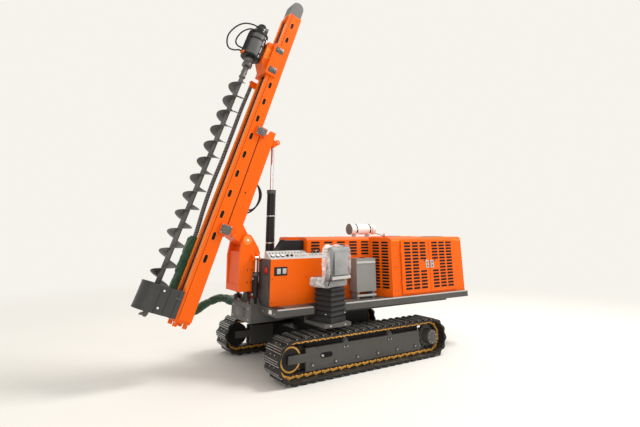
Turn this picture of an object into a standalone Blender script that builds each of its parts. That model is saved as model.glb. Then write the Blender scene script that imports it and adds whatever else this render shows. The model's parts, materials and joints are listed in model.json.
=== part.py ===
"""Crawler piling rig: one named solid for each sub-part, in metres, +X towards the mast."""

from math import atan2, cos, hypot, pi, radians, sin, tau

import bmesh
import bpy
from mathutils import Matrix, Vector

GAP = 0.0003  # between solids that touch
RUNNING_GAP = 0.006  # between pieces that move past each other
RUNNER_GAP = 0.0008  # at a pin, a runner or a rod in its barrel

# Undercarriage
TRACK_WIDTH = 0.396
TRACK_OUTSIDE = 2.10
TRACK_HALF_LENGTH = 1.232  # from the middle to the idler's or sprocket's axle
TRACK_RADIUS = 0.266  # to the grouser tips
GROUSER = 0.026
SHOE_THICKNESS = 0.016
SHOES = 48
CHAIN_WIDTH = 0.14
CHAIN_DEPTH = 0.060
RING_STEPS = 9  # flats of the chain round half a wheel
SIDE_FRAME_WIDTH = 0.17
SIDE_FRAME_LOW = 0.105
SIDE_FRAME_TOP = 0.375
SIDE_FRAME_REACH = 1.02
ROLLER_RADIUS = 0.062
BOTTOM_ROLLERS = 6
TOP_ROLLER_PLACES = (-0.42, 0.38)

# Deck
DECK_FRONT = 1.414
DECK_REAR = -2.353
DECK_HALF_WIDTH = 0.84
DECK_TOP = 0.845
DECK_DEPTH = 0.094
NOSE_FRONT = 1.55
NOSE_HALF_WIDTH = 0.34
NOSE_BOTTOM = 0.62
FOOTWELL_FRONT = 0.83
FOOTWELL_REAR = 0.33
FOOTWELL_INSIDE = 0.590

# Engine housing
HOUSING_FRONT = -0.645
HOUSING_REAR = -2.33
HOUSING_HALF_WIDTH = 0.80
HOUSING_TOP = 1.739
ROOF_THICKNESS = 0.04
ROOF_CHAMFER = 0.035
PANEL = 0.020
DOOR_FRONT_EDGE = -0.848
DOOR_SPLIT = -1.480
DOOR_REAR_EDGE = -2.107
DOOR_LOW = 0.885
DOOR_TOP = 1.690
DOOR_THICKNESS = 0.014
DOOR_SPLIT_GAP = 0.010
HINGE_RADIUS = 0.007
FRONT_HOOD_FRONT = 0.72
FRONT_HOOD_REAR = -0.50
FRONT_HOOD_HALF_WIDTH = 0.45
TRENCH_HALF_WIDTH = 0.20
TRENCH_REAR = -0.14

# Operator's place
CONSOLE_FRONT = 1.385
CONSOLE_REAR = 0.28
CONSOLE_INSIDE = 0.20
CONSOLE_OUTSIDE = 0.56
CONSOLE_TOP = 1.452
GAUGE_TOP = 1.556
GAUGE_INSIDE = 0.40
HOOD_FRONT = 1.17
HOOD_REAR = 0.74
HOOD_TOP = 1.70
SEAT_PLACE = (0.58, 0.85)
SEAT_TURN = radians(15)
SEAT_FLOOR = 0.64
BELLOWS_SIZE = 0.32
BELLOWS_TOP = 1.079
SEAT_WIDTH = 0.46
SEAT_BACK_TOP = 1.64
SEAT_BACK_REACH = 0.215

# Tanks
TANK_FRONT = -0.05
TANK_REAR = -0.43
TANK_INSIDE = 0.462
TANK_OUTSIDE = 0.66
TANK_LOW = 0.945
TANK_TOP = 1.425

# Mast support: the fork rolls about X on the deck, the carrier tilts about Y on the fork
ROLL_HEIGHT = 0.935
ROLL_LUG_RADIUS = 0.070
FORK_HALF_WIDTH = 0.235
CHEEK_THICKNESS = 0.045
WEB_TOP = 1.55  # of the plate between the cheeks
PIN_X = 1.595
PIN_HEIGHT = 1.703
LEAN = radians(18.3)
CYLINDER_FOOT_X = 1.12
CYLINDER_FOOT_HEIGHT = 1.25
BARREL_LENGTH = 1.20
BARREL_RADIUS = 0.066
ROD_RADIUS = 0.031
ROLL_CYLINDER_X = 1.475
ROLL_CYLINDER_Y = 0.292
ROLL_FOOT_HEIGHT = 0.905
ROLL_EYE_HEIGHT = 1.46
ROLL_PIN_HALF = 0.024
LIFT_PIN_HALF = 0.033

# Mast, in its own frame: z along it from the tilt pin, x to its front
MAST_REAR = 0.355
MAST_FRONT = 0.593
MAST_HALF_WIDTH = 0.168
MAST_LOW = -1.197
MAST_HIGH = 3.903
MAST_RECESS_DEPTH = 0.075
MAST_RECESS_HALF_WIDTH = 0.095
SLOTS = 14
SLOT_FIRST = -0.407
SLOT_SPACING = 0.314
SLOT_LENGTH = 0.115
SLOT_WIDTH = 0.050
SLOT_X = 0.483
SLOT_DEPTH = 0.050
CAP_NECK = 0.225  # from the mast's top to the middle of the crown
CAP_RADIUS = 0.118
CAP_HALF_WIDTH = 0.11
CARRIER_REAR = 0.12
CARRIER_HALF_WIDTH = 0.166
EYE_X = 0.02
EYE_Z = 1.574
AUGER_X = 0.93
AUGER_RADIUS = 0.156
AUGER_STEM_RADIUS = 0.045
AUGER_PITCH = 0.267
AUGER_LOW = -1.27
FLIGHT_TOP = 2.35
HEAD_LOW = 2.76
HEAD_HIGH = 3.26
HEAD_RADIUS = 0.165
CARRIAGE_LOW = 2.58
CARRIAGE_HIGH = 3.18
GUIDE_CLEARANCE = 0.028
GUIDE_LOW = -1.197
GUIDE_HIGH = -0.867
GUIDE_WALL = 0.016
FOOT_THICKNESS = 0.030

# Hoses: their routes are chosen points, in the frame of the body that carries them
HOSE_RADIUS = 0.013
BUNDLE_RADIUS = 0.034
MAST_SLEEVE_RADIUS = 0.058
DECK_SLEEVE_RADIUS = 0.045
BUNDLE_Y = -0.247
BUNDLE_TOP = 2.50
BUNDLE_ROUTE = [
    (0.660, BUNDLE_Y, 2.50), (0.660, BUNDLE_Y, 2.42), (0.660, BUNDLE_Y, 2.34), (0.668, BUNDLE_Y, 2.03),
    (0.660, BUNDLE_Y, 1.48), (0.655, BUNDLE_Y, 1.03), (0.660, BUNDLE_Y, 0.66), (0.645, BUNDLE_Y, 0.29),
    (0.620, BUNDLE_Y, 0.00), (0.612, BUNDLE_Y, -0.09), (0.612, BUNDLE_Y, -0.12), (0.612, BUNDLE_Y, -0.1497),
]
MAST_SLEEVE_ROUTE = [
    (0.612, -0.268, -0.15), (0.612, -0.268, -0.19), (0.612, -0.268, -0.23), (0.612, -0.270, -0.40),
    (0.608, -0.272, -0.62), (0.601, -0.272, -0.82), (0.600, -0.272, -0.88), (0.600, -0.272, -0.91),
    (0.600, -0.272, -0.94),
]
DECK_SLEEVE_ROUTE = [
    (1.4148, -0.520, 0.799), (1.440, -0.520, 0.799), (1.465, -0.520, 0.799), (1.620, -0.455, 0.860),
    (1.780, -0.380, 0.870), (1.920, -0.335, 0.838), (2.080, -0.300, 0.765), (2.190, -0.287, 0.725),
    (2.300, -0.280, 0.712), (2.400, -0.276, 0.748), (2.460, -0.273, 0.830), (2.4789, -0.272, 0.9412),
    (2.46948, -0.272, 0.96969), (2.46006, -0.272, 0.99817),
]
HEAD_HOSE_ROUTES = [
    [
        (1.0205, 0.05, 3.36), (1.045, 0.05, 3.36), (1.07, 0.05, 3.36), (1.26, 0.07, 3.27),
        (1.40, 0.09, 3.05), (1.43, 0.10, 2.84), (1.35, 0.08, 2.71), (1.24, 0.04, 2.74),
        (1.15, 0.02, 2.80), (1.122, 0.02, 2.80), (1.0955, 0.02, 2.80),
    ],
    [
        (1.0205, -0.05, 3.33), (1.045, -0.05, 3.33), (1.07, -0.05, 3.33), (1.19, -0.07, 3.22),
        (1.245, -0.08, 3.06), (1.24, -0.07, 2.95), (1.19, -0.04, 2.89), (1.15, -0.02, 2.88),
        (1.122, -0.02, 2.88), (1.0955, -0.02, 2.88),
    ],
]
CARRIER_HOSE_ROUTES = [
    [
        (0.3286, -0.115, 0.98), (0.29, -0.115, 0.98), (0.25, -0.115, 0.98), (0.06, -0.115, 0.93),
        (-0.08, -0.115, 0.78), (-0.11, -0.115, 0.62), (-0.04, -0.115, 0.46), (0.12, -0.115, 0.37),
        (0.25, -0.115, 0.36), (0.29, -0.115, 0.36), (0.3286, -0.115, 0.36),
    ],
    [
        (0.3286, 0.120, 0.86), (0.29, 0.120, 0.86), (0.25, 0.120, 0.86), (0.06, 0.120, 0.80),
        (-0.02, 0.120, 0.70), (-0.01, 0.120, 0.54), (0.06, 0.120, 0.44), (0.25, 0.120, 0.42),
        (0.29, 0.120, 0.42), (0.3286, 0.120, 0.42),
    ],
]

GUIDE_HALF_WIDTH = AUGER_RADIUS + GUIDE_CLEARANCE + GUIDE_WALL
GUIDE_FRONT = AUGER_X + GUIDE_HALF_WIDTH
LONGEST_FORWARD = PIN_X + GUIDE_FRONT * cos(LEAN) - GUIDE_LOW * sin(LEAN)
MIDDLE_X = (LONGEST_FORWARD + DECK_REAR) / 2
SEAT_OUTERMOST = SEAT_PLACE[1] + (SEAT_WIDTH / 2 - 0.01) * sin(SEAT_TURN) + SEAT_BACK_REACH * cos(SEAT_TURN)
MIDDLE_Y = (SEAT_OUTERMOST - TRACK_OUTSIDE / 2) / 2

PAINTS = {
    "orange": ((0.90, 0.13, 0.008, 1), 0.35, 0.0),
    "charcoal": ((0.070, 0.066, 0.062, 1), 0.5, 0.2),
    "black": ((0.012, 0.012, 0.013, 1), 0.5, 0.1),
    "track_steel": ((0.035, 0.033, 0.032, 1), 0.45, 0.8),
    "ochre": ((0.72, 0.42, 0.06, 1), 0.5, 0.3),
    "light_grey": ((0.50, 0.50, 0.49, 1), 0.45, 0.2),
    "seat_grey": ((0.16, 0.16, 0.16, 1), 0.8, 0.0),
    "chrome": ((0.75, 0.75, 0.76, 1), 0.15, 1.0),
    "sleeve_green": ((0.03, 0.07, 0.05, 1), 0.9, 0.0),
}


def clear_scene():
    for old in list(bpy.data.objects):
        bpy.data.objects.remove(old, do_unlink=True)


def paint(name):
    """The named material, made on first use."""
    found = bpy.data.materials.get(name)
    if found:
        return found
    colour, roughness, metallic = PAINTS[name]
    made = bpy.data.materials.new(name)
    made.use_nodes = True
    shader = made.node_tree.nodes["Principled BSDF"]
    shader.inputs["Base Color"].default_value = colour
    shader.inputs["Roughness"].default_value = roughness
    shader.inputs["Metallic"].default_value = metallic
    return made


def axis(name, place, parent=None, turn=(0, 0, 0)):
    """An empty that carries the pieces of one body, on its joint's axis."""
    empty = bpy.data.objects.new(name, None)
    bpy.context.collection.objects.link(empty)
    empty.location = place
    empty.rotation_euler = turn
    empty.parent = parent
    empty.empty_display_size = 0.1
    return empty


def finish(name, bm, colour, parent, smooth=False):
    bmesh.ops.recalc_face_normals(bm, faces=bm.faces)
    mesh = bpy.data.meshes.new(name)
    bm.to_mesh(mesh)
    bm.free()
    for face in mesh.polygons:
        face.use_smooth = smooth
    made = bpy.data.objects.new(name, mesh)
    bpy.context.collection.objects.link(made)
    made.parent = parent
    if colour:
        made.data.materials.append(paint(colour))
    else:
        made.hide_render = True
        made.display_type = "WIRE"
    if smooth:
        mesh.set_sharp_from_angle(angle=radians(35))
    return made


def box(low, high):
    bm = bmesh.new()
    bmesh.ops.create_cube(bm, size=1)
    size = [b - a for a, b in zip(low, high)]
    middle = [(a + b) / 2 for a, b in zip(low, high)]
    bmesh.ops.scale(bm, vec=size, verts=bm.verts)
    bmesh.ops.translate(bm, vec=middle, verts=bm.verts)
    return bm


AXES = {
    "x": Matrix(((0, 0, 1), (1, 0, 0), (0, 1, 0))),  # outline in (y, z), thickness along x
    "y": Matrix(((1, 0, 0), (0, 0, -1), (0, 1, 0))),  # outline in (x, z), thickness along -y
    "z": Matrix(((1, 0, 0), (0, 1, 0), (0, 0, 1))),  # outline in (x, y), thickness along z
}


def plate(outline, along, low, high, hole=None):
    """A flat piece: the outline, less a hole, from low to high along one axis."""
    bm = bmesh.new()
    start, end = (-high, -low) if along == "y" else (low, high)
    edges = []
    for ring in [outline] + ([hole] if hole else []):
        verts = [bm.verts.new((a, b, start)) for a, b in ring]
        edges += [bm.edges.new((verts[i - 1], verts[i])) for i in range(len(verts))]
    if hole:
        bmesh.ops.triangle_fill(bm, use_beauty=True, use_dissolve=False, edges=edges)
    else:
        bm.faces.new(bm.verts[:])
    grown = bmesh.ops.extrude_face_region(bm, geom=bm.faces[:])
    moved = [item for item in grown["geom"] if isinstance(item, bmesh.types.BMVert)]
    bmesh.ops.translate(bm, vec=(0, 0, end - start), verts=moved)
    bmesh.ops.transform(bm, matrix=AXES[along].to_4x4(), verts=bm.verts)
    return bm


def rod(radius, start, end, sides=16):
    """A round bar between two points."""
    start, end = Vector(start), Vector(end)
    bm = bmesh.new()
    bmesh.ops.create_cone(
        bm,
        cap_ends=True,
        segments=sides,
        radius1=radius,
        radius2=radius,
        depth=(end - start).length,
    )
    turn = Vector((0, 0, 1)).rotation_difference(end - start).to_matrix().to_4x4()
    bmesh.ops.transform(bm, matrix=Matrix.Translation((start + end) / 2) @ turn, verts=bm.verts)
    return bm


def arc(middle, radius, start, end, steps):
    """Points of a round stretch, angles in degrees."""
    angles = [radians(start + (end - start) * i / steps) for i in range(steps + 1)]
    return [(middle[0] + radius * cos(a), middle[1] + radius * sin(a)) for a in angles]


def change(base, operation, others):
    """Booleans on base: each other shape is a hidden helper."""
    for number, other in enumerate(others):
        helper = finish(f"{base.name}_{operation.lower()}_{number}", other, None, base.parent)
        step = base.modifiers.new(f"{operation.lower()}_{number}", "BOOLEAN")
        step.operation = operation
        step.object = helper
    return base


def join(base, *others):
    return change(base, "UNION", others)


def cut(base, *others):
    return change(base, "DIFFERENCE", others)


def lug_pair(middle, pin_half, thickness):
    """The ranges of two lugs on either side of an eye."""
    near = pin_half + RUNNER_GAP
    far = near + thickness
    return ((middle - far, middle - near), (middle + near, middle + far))


def smooth_route(points, spacing):
    """Points about that far apart on a smooth curve through the given ones."""
    legs = [(b - a).normalized() for a, b in zip(points, points[1:])]
    turns = [(a + b).normalized() for a, b in zip(legs, legs[1:])]
    tangents = [legs[0]] + turns + [legs[-1]]
    found = []
    for start, end, leave, arrive in zip(points, points[1:], tangents, tangents[1:]):
        length = (end - start).length
        steps = max(1, round(length / spacing))
        for step in range(steps):
            t = step / steps
            place = start * (2 * t**3 - 3 * t**2 + 1) + end * (3 * t**2 - 2 * t**3)
            pull = leave * (t**3 - 2 * t**2 + t) + arrive * (t**3 - t**2)
            found.append(place + pull * length)
    return found + [points[-1]]


def hose(name, route, radius, colour, parent):
    """A hose of one thickness along a smooth curve through the route's points."""
    curve = bpy.data.curves.new(name, "CURVE")
    curve.dimensions = "3D"
    curve.bevel_depth = radius
    curve.bevel_resolution = 2
    curve.use_fill_caps = True
    points = smooth_route([Vector(point) for point in route], 3 * radius)
    spline = curve.splines.new("POLY")
    spline.points.add(len(points) - 1)
    for target, point in zip(spline.points, points):
        target.co = (*point, 1)
    curve.materials.append(paint(colour))
    made = bpy.data.objects.new(name, curve)
    bpy.context.collection.objects.link(made)
    made.parent = parent


def sides():
    """(name, sign) for the left and the right of the machine."""
    return (("left", 1), ("right", -1))


def span(sign, near, far):
    """The y range between two distances from the middle plane, on one side."""
    return sorted((sign * near, sign * far))


# ---------------------------------------------------------------- undercarriage


def loop_points(radius, count):
    """Evenly spaced (x, z, nx, nz) points round a track of that radius."""
    straight = 2 * TRACK_HALF_LENGTH
    length = 2 * straight + tau * radius
    found = []
    for step in range(count):
        along = length * step / count
        if along < straight:
            found.append((TRACK_HALF_LENGTH - along, radius, 0, 1))
            continue
        along -= straight
        if along < pi * radius:
            angle = pi / 2 + along / radius
            c, s = cos(angle), sin(angle)
            found.append((-TRACK_HALF_LENGTH + radius * c, radius * s, c, s))
            continue
        along -= pi * radius
        if along < straight:
            found.append((-TRACK_HALF_LENGTH + along, -radius, 0, -1))
            continue
        angle = -pi / 2 + (along - straight) / radius
        found.append((TRACK_HALF_LENGTH + radius * cos(angle), radius * sin(angle), cos(angle), sin(angle)))
    return found


def track_ring(radius, steps=RING_STEPS):
    """A plain stadium outline about the axles."""
    front = arc((TRACK_HALF_LENGTH, TRACK_RADIUS), radius, -90, 90, steps)
    rear = arc((-TRACK_HALF_LENGTH, TRACK_RADIUS), radius, 90, 270, steps)
    return front + rear


def shoe_outline():
    """The track's outer edge: each shoe is flat, then rises to its grouser."""
    base = TRACK_RADIUS - GROUSER
    outline = []
    for number, (x, z, nx, nz) in enumerate(loop_points(base, SHOES * 4)):
        height = (0, GROUSER, GROUSER, 0)[number % 4]
        outline.append((x + nx * height, TRACK_RADIUS + z + nz * height))
    return outline


def make_undercarriage(root):
    inner = TRACK_OUTSIDE / 2 - TRACK_WIDTH
    centre = TRACK_OUTSIDE / 2 - TRACK_WIDTH / 2
    shoe_inside = TRACK_RADIUS - GROUSER - SHOE_THICKNESS
    chain_inside = shoe_inside - CHAIN_DEPTH
    for side, sign in sides():
        low, high = span(sign, inner, inner + TRACK_WIDTH)
        track = finish(
            f"{side}_track",
            plate(shoe_outline(), "y", low, high, track_ring(shoe_inside)),
            "track_steel",
            root,
        )
        chain_low, chain_high = span(sign, centre - CHAIN_WIDTH / 2, centre + CHAIN_WIDTH / 2)
        chain = plate(
            track_ring(shoe_inside + SHOE_THICKNESS / 2), "y", chain_low, chain_high, track_ring(chain_inside)
        )
        join(track, chain)
        make_side_frame(root, side, sign, centre, chain_inside)
        make_idler(root, side, sign, centre, chain_inside)
        make_final_drive(root, side, sign, centre, chain_inside)


def make_side_frame(root, side, sign, centre, chain_inside):
    """The frame inside one track, with its rollers and the axles of the idler and the drive."""
    low, high = span(sign, centre - SIDE_FRAME_WIDTH / 2, centre + SIDE_FRAME_WIDTH / 2)
    frame = finish(
        f"{side}_side_frame",
        box((-SIDE_FRAME_REACH, low, SIDE_FRAME_LOW), (SIDE_FRAME_REACH, high, SIDE_FRAME_TOP)),
        "charcoal",
        root,
    )
    floor = TRACK_RADIUS - chain_inside
    ceiling = TRACK_RADIUS + chain_inside
    roller_low, roller_high = span(sign, centre - CHAIN_WIDTH / 2, centre + CHAIN_WIDTH / 2)
    pieces = []
    first = -SIDE_FRAME_REACH + 0.10
    step = 2 * (SIDE_FRAME_REACH - 0.10) / (BOTTOM_ROLLERS - 1)
    for number in range(BOTTOM_ROLLERS):
        x = first + number * step
        z = floor + GAP + ROLLER_RADIUS
        pieces.append(rod(ROLLER_RADIUS, (x, roller_low, z), (x, roller_high, z), 12))
    for x in TOP_ROLLER_PLACES:
        z = ceiling - GAP - ROLLER_RADIUS * 0.8
        pieces.append(rod(ROLLER_RADIUS * 0.8, (x, roller_low, z), (x, roller_high, z), 12))
        pieces.append(box((x - 0.045, low, SIDE_FRAME_TOP - 0.02), (x + 0.045, high, z)))
    fork_low, fork_high = span(sign, centre - 0.058, centre + 0.058)
    cut(
        frame,
        box((SIDE_FRAME_REACH - 0.24, fork_low, 0), (SIDE_FRAME_REACH + 0.1, fork_high, 1)),
        box((-SIDE_FRAME_REACH - 0.1, fork_low, 0), (-SIDE_FRAME_REACH + 0.24, fork_high, 1)),
    )
    join(frame, *pieces)
    arm_height = 0.05
    for end in (-1, 1):
        for arm_side in (-1, 1):
            if end < 0 and arm_side == sign:
                continue  # the final drive's cover takes the outer side
            arm_low, arm_high = sorted((centre * sign + arm_side * 0.058, centre * sign + arm_side * 0.085))
            x_low, x_high = sorted((end * (SIDE_FRAME_REACH - 0.05), end * (TRACK_HALF_LENGTH + 0.05)))
            join(
                frame,
                box(
                    (x_low, arm_low, TRACK_RADIUS - arm_height),
                    (x_high, arm_high, TRACK_RADIUS + arm_height),
                ),
            )


def make_idler(root, side, sign, centre, chain_inside):
    """The front wheel that guides the chain."""
    y = sign * centre
    x = TRACK_HALF_LENGTH
    rim = chain_inside * cos(pi / 2 / RING_STEPS) - GAP
    wheel = finish(
        f"{side}_idler",
        rod(rim, (x, y - 0.050, TRACK_RADIUS), (x, y + 0.050, TRACK_RADIUS), 28),
        "ochre",
        root,
        smooth=True,
    )


def make_final_drive(root, side, sign, centre, chain_inside):
    """The toothed rear wheel and the motor cover on its outside."""
    y = sign * centre
    teeth = 14
    tip_radius = chain_inside * cos(pi / 2 / RING_STEPS) - GAP
    root_radius = tip_radius - 0.020
    outline = []
    for number in range(teeth):
        for share, radius in ((0.0, root_radius), (0.30, root_radius), (0.48, tip_radius), (0.82, tip_radius)):
            angle = tau * (number + share) / teeth
            outline.append((-TRACK_HALF_LENGTH + radius * cos(angle), TRACK_RADIUS + radius * sin(angle)))
    wheel = finish(
        f"{side}_sprocket",
        plate(outline, "y", y - 0.030, y + 0.030),
        "charcoal",
        root,
    )
    cover_near, cover_far = span(sign, centre + 0.020, centre + 0.155)
    hub = (-TRACK_HALF_LENGTH, cover_near, TRACK_RADIUS)
    join(wheel, rod(0.105, hub, (-TRACK_HALF_LENGTH, cover_far, TRACK_RADIUS), 20))


def make_car_body(root):
    """The frame between the tracks and the round seat under the deck."""
    inside = TRACK_OUTSIDE / 2 - TRACK_WIDTH / 2 - SIDE_FRAME_WIDTH / 2 - GAP
    body = finish("car_body", box((-0.62, -inside, 0.20), (0.62, inside, 0.40)), "black", root)
    join(body, box((-0.42, -0.45, 0.30), (0.42, 0.45, 0.66)))
    top = DECK_TOP - DECK_DEPTH - GAP
    join(body, rod(0.38, (0, 0, 0.60), (0, 0, top), 28))


def make_deck(root):
    """The flat frame that carries everything above the tracks."""
    low = DECK_TOP - DECK_DEPTH
    outline = [
        (DECK_REAR, -DECK_HALF_WIDTH),
        (DECK_FRONT, -DECK_HALF_WIDTH),
        (DECK_FRONT, DECK_HALF_WIDTH),
        (FOOTWELL_FRONT, DECK_HALF_WIDTH),
        (FOOTWELL_FRONT, FOOTWELL_INSIDE),
        (FOOTWELL_REAR, FOOTWELL_INSIDE),
        (FOOTWELL_REAR, DECK_HALF_WIDTH),
        (DECK_REAR, DECK_HALF_WIDTH),
    ]
    deck = finish("deck", plate(outline, "z", low, DECK_TOP), "charcoal", root)
    join(deck, box((1.05, -NOSE_HALF_WIDTH, NOSE_BOTTOM), (NOSE_FRONT, NOSE_HALF_WIDTH, DECK_TOP)))
    for sign in (-1, 1):
        rail_low, rail_high = sorted((sign * 0.40, sign * 0.48))
        join(deck, box((DECK_REAR + 0.15, rail_low, 0.66), (1.2, rail_high, low + 0.01)))


# ---------------------------------------------------------------- housing


def hood_block(name, root, x_range, y_range, top, outer_sign):
    """A closed sheet cover, open below, with its outer top edge chamfered."""
    low, high = y_range
    base = DECK_TOP + GAP

    def section(inset):
        left, right, roof = low + inset, high - inset, top - inset
        points = [(left, base), (right, base), (right, roof), (left, roof)]
        if outer_sign > 0:
            points[2:3] = [(right, roof - ROOF_CHAMFER), (right - ROOF_CHAMFER, roof)]
        if outer_sign < 0:
            points[3:4] = [(left + ROOF_CHAMFER, roof), (left, roof - ROOF_CHAMFER)]
        return points

    cover = finish(name, plate(section(0), "x", *x_range), "orange", root)
    inner = [(y, z - 0.01 if z == base else z) for y, z in section(PANEL)]
    cut(cover, plate(inner, "x", x_range[0] + PANEL, x_range[1] - PANEL))
    return cover


def make_front_hood(root):
    """The narrow front of the housing: three covers round the trench for the lift cylinder."""
    for side, sign in sides():
        y_range = span(sign, TRENCH_HALF_WIDTH, FRONT_HOOD_HALF_WIDTH)
        hood_block(
            f"{side}_front_hood", root, (FRONT_HOOD_REAR, FRONT_HOOD_FRONT), y_range, HOUSING_TOP, sign
        )
    inner = TRENCH_HALF_WIDTH - GAP
    hood_block("middle_front_hood", root, (FRONT_HOOD_REAR, TRENCH_REAR), (-inner, inner), HOUSING_TOP, 0)


def make_housing(root):
    """The engine housing's flat panels and roof."""
    base = DECK_TOP + GAP
    wall_top = HOUSING_TOP - ROOF_THICKNESS - GAP
    for side, sign in sides():
        wall = make_side_wall(root, side, sign, base, wall_top)
        far = HOUSING_HALF_WIDTH - 0.005
        near = FRONT_HOOD_HALF_WIDTH + 0.001
        corner = (HOUSING_FRONT - 0.001, sign * far)
        inner = (FRONT_HOOD_REAR - 0.001, sign * near)
        outline = [corner, inner, (inner[0] - PANEL, inner[1]), (corner[0] - PANEL, corner[1])]
        join(wall, plate(outline, "z", base + 0.001, wall_top - 0.001))
    back = HOUSING_HALF_WIDTH - PANEL - GAP
    finish(
        "rear_wall",
        box((HOUSING_REAR, -back, base), (HOUSING_REAR + PANEL, back, wall_top)),
        "orange",
        root,
    )
    half = HOUSING_HALF_WIDTH
    roof_low = HOUSING_TOP - ROOF_THICKNESS
    front = FRONT_HOOD_REAR - GAP
    outline = [
        (-half, roof_low),
        (half, roof_low),
        (half, HOUSING_TOP - ROOF_CHAMFER),
        (half - ROOF_CHAMFER, HOUSING_TOP),
        (-half + ROOF_CHAMFER, HOUSING_TOP),
        (-half, HOUSING_TOP - ROOF_CHAMFER),
    ]
    roof = finish("housing_roof", plate(outline, "x", HOUSING_REAR, front), "orange", root)
    for sign in (-1, 1):
        corner = [
            (HOUSING_FRONT, sign * (half + 0.1)),
            (HOUSING_FRONT, sign * half),
            (front - 0.001, sign * FRONT_HOOD_HALF_WIDTH),
            (front + 0.1, sign * FRONT_HOOD_HALF_WIDTH),
            (front + 0.1, sign * (half + 0.1)),
        ]
        cut(roof, plate(corner, "z", roof_low - 0.1, HOUSING_TOP + 0.1))
    finish(
        "engine_block",
        box((-1.75, -0.30, base), (-0.85, 0.30, 1.46)),
        "black",
        root,
    )


def make_side_wall(root, side, sign, base, wall_top):
    """One side wall with its door opening and hinge knuckles, and the two doors on their hinge axes."""
    low, high = span(sign, HOUSING_HALF_WIDTH - PANEL, HOUSING_HALF_WIDTH)
    frame = [
        (HOUSING_REAR, base),
        (HOUSING_FRONT, base),
        (HOUSING_FRONT, wall_top),
        (HOUSING_REAR, wall_top),
    ]
    lap = 0.02
    opening = [
        (DOOR_REAR_EDGE + lap, DOOR_LOW + lap),
        (DOOR_FRONT_EDGE - lap, DOOR_LOW + lap),
        (DOOR_FRONT_EDGE - lap, DOOR_TOP - lap),
        (DOOR_REAR_EDGE + lap, DOOR_TOP - lap),
    ]
    wall = finish(f"{side}_side_wall", plate(frame, "y", low, high, opening), "orange", root)
    door_near = HOUSING_HALF_WIDTH + RUNNING_GAP
    axis_y = sign * (door_near + DOOR_THICKNESS - 0.002)
    doors = (
        ("front", DOOR_FRONT_EDGE, DOOR_SPLIT + DOOR_SPLIT_GAP / 2, 1),
        ("rear", DOOR_REAR_EDGE, DOOR_SPLIT - DOOR_SPLIT_GAP / 2, -1),
    )
    for which, hinge_edge, free_edge, outward in doors:
        axis_x = hinge_edge + outward * (HINGE_RADIUS + RUNNER_GAP)
        hinge = axis(f"{side}_{which}_door_axis", (axis_x, axis_y, (DOOR_LOW + DOOR_TOP) / 2), root)
        half = (DOOR_TOP - DOOR_LOW) / 2
        near, far = span(sign, door_near, door_near + DOOR_THICKNESS)
        x_low, x_high = sorted((hinge_edge, free_edge))
        finish(
            f"{side}_{which}_door",
            box((x_low - axis_x, near - axis_y, -half), (x_high - axis_x, far - axis_y, half)),
            "orange",
            hinge,
        )
        for height in (0.2, 0.8):
            z = DOOR_LOW + (DOOR_TOP - DOOR_LOW) * height
            tab_low, tab_high = sorted((sign * (HOUSING_HALF_WIDTH - 0.003), axis_y))
            tab_x = axis_x + outward * HINGE_RADIUS
            tab = [(axis_x, tab_low), (tab_x, tab_low), (tab_x, tab_high), (axis_x, tab_high)]
            join(
                wall,
                plate(tab, "z", z - 0.03, z + 0.03),
                rod(HINGE_RADIUS, (axis_x, axis_y, z - 0.035), (axis_x, axis_y, z + 0.035), 8),
            )
    return wall


def make_roof_fittings(root):
    """The air cleaner on its two saddles."""
    bottom = HOUSING_TOP + GAP
    cleaner = finish(
        "air_cleaner",
        rod(0.085, (-0.72, 0.28, bottom + 0.125), (-0.20, 0.28, bottom + 0.125), 24),
        "light_grey",
        root,
        smooth=True,
    )
    for x in (-0.60, -0.32):
        join(cleaner, box((x - 0.02, 0.22, bottom), (x + 0.02, 0.34, bottom + 0.10)))

# ---------------------------------------------------------------- operator's place


def make_console(root):
    """The control console beside the fork, its gauge panel and the hood over the control valves."""
    base = DECK_TOP + GAP
    back_inside = FRONT_HOOD_HALF_WIDTH + 0.01
    outline = [
        (CONSOLE_REAR, back_inside),
        (FRONT_HOOD_FRONT + 0.01, back_inside),
        (FRONT_HOOD_FRONT + 0.01, CONSOLE_INSIDE),
        (CONSOLE_FRONT, CONSOLE_INSIDE),
        (CONSOLE_FRONT, CONSOLE_OUTSIDE),
        (CONSOLE_REAR, CONSOLE_OUTSIDE),
    ]
    finish("console_body", plate(outline, "z", base, CONSOLE_TOP), "charcoal", root)
    panel_low = CONSOLE_OUTSIDE + GAP
    finish(
        "console_side_panel",
        box((CONSOLE_REAR, panel_low, base), (CONSOLE_FRONT - 0.004, panel_low + 0.012, CONSOLE_TOP)),
        "orange",
        root,
    )
    top = CONSOLE_TOP + GAP
    panel = [
        (CONSOLE_OUTSIDE + 0.012, top),
        (GAUGE_INSIDE, GAUGE_TOP),
        (GAUGE_INSIDE - 0.03, GAUGE_TOP),
        (GAUGE_INSIDE - 0.03, top),
    ]
    gauges = finish("gauge_panel", plate(panel, "x", FRONT_HOOD_FRONT + 0.012, CONSOLE_FRONT), "light_grey", root)
    slim = [
        (CONSOLE_OUTSIDE + 0.012, top),
        (back_inside + 0.002, top + 0.065),
        (back_inside + 0.002, top),
    ]
    join(gauges, plate(slim, "x", CONSOLE_REAR, FRONT_HOOD_FRONT + 0.02))
    lower = [
        (HOOD_FRONT, top),
        (HOOD_FRONT, GAUGE_TOP),
        (HOOD_FRONT - 0.11, HOOD_TOP),
        (HOOD_REAR, HOOD_TOP),
        (HOOD_REAR, top),
    ]
    finish(
        "control_hood",
        plate(lower, "y", CONSOLE_INSIDE + 0.01, GAUGE_INSIDE - 0.03 - GAP),
        "black",
        root,
    )


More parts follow.
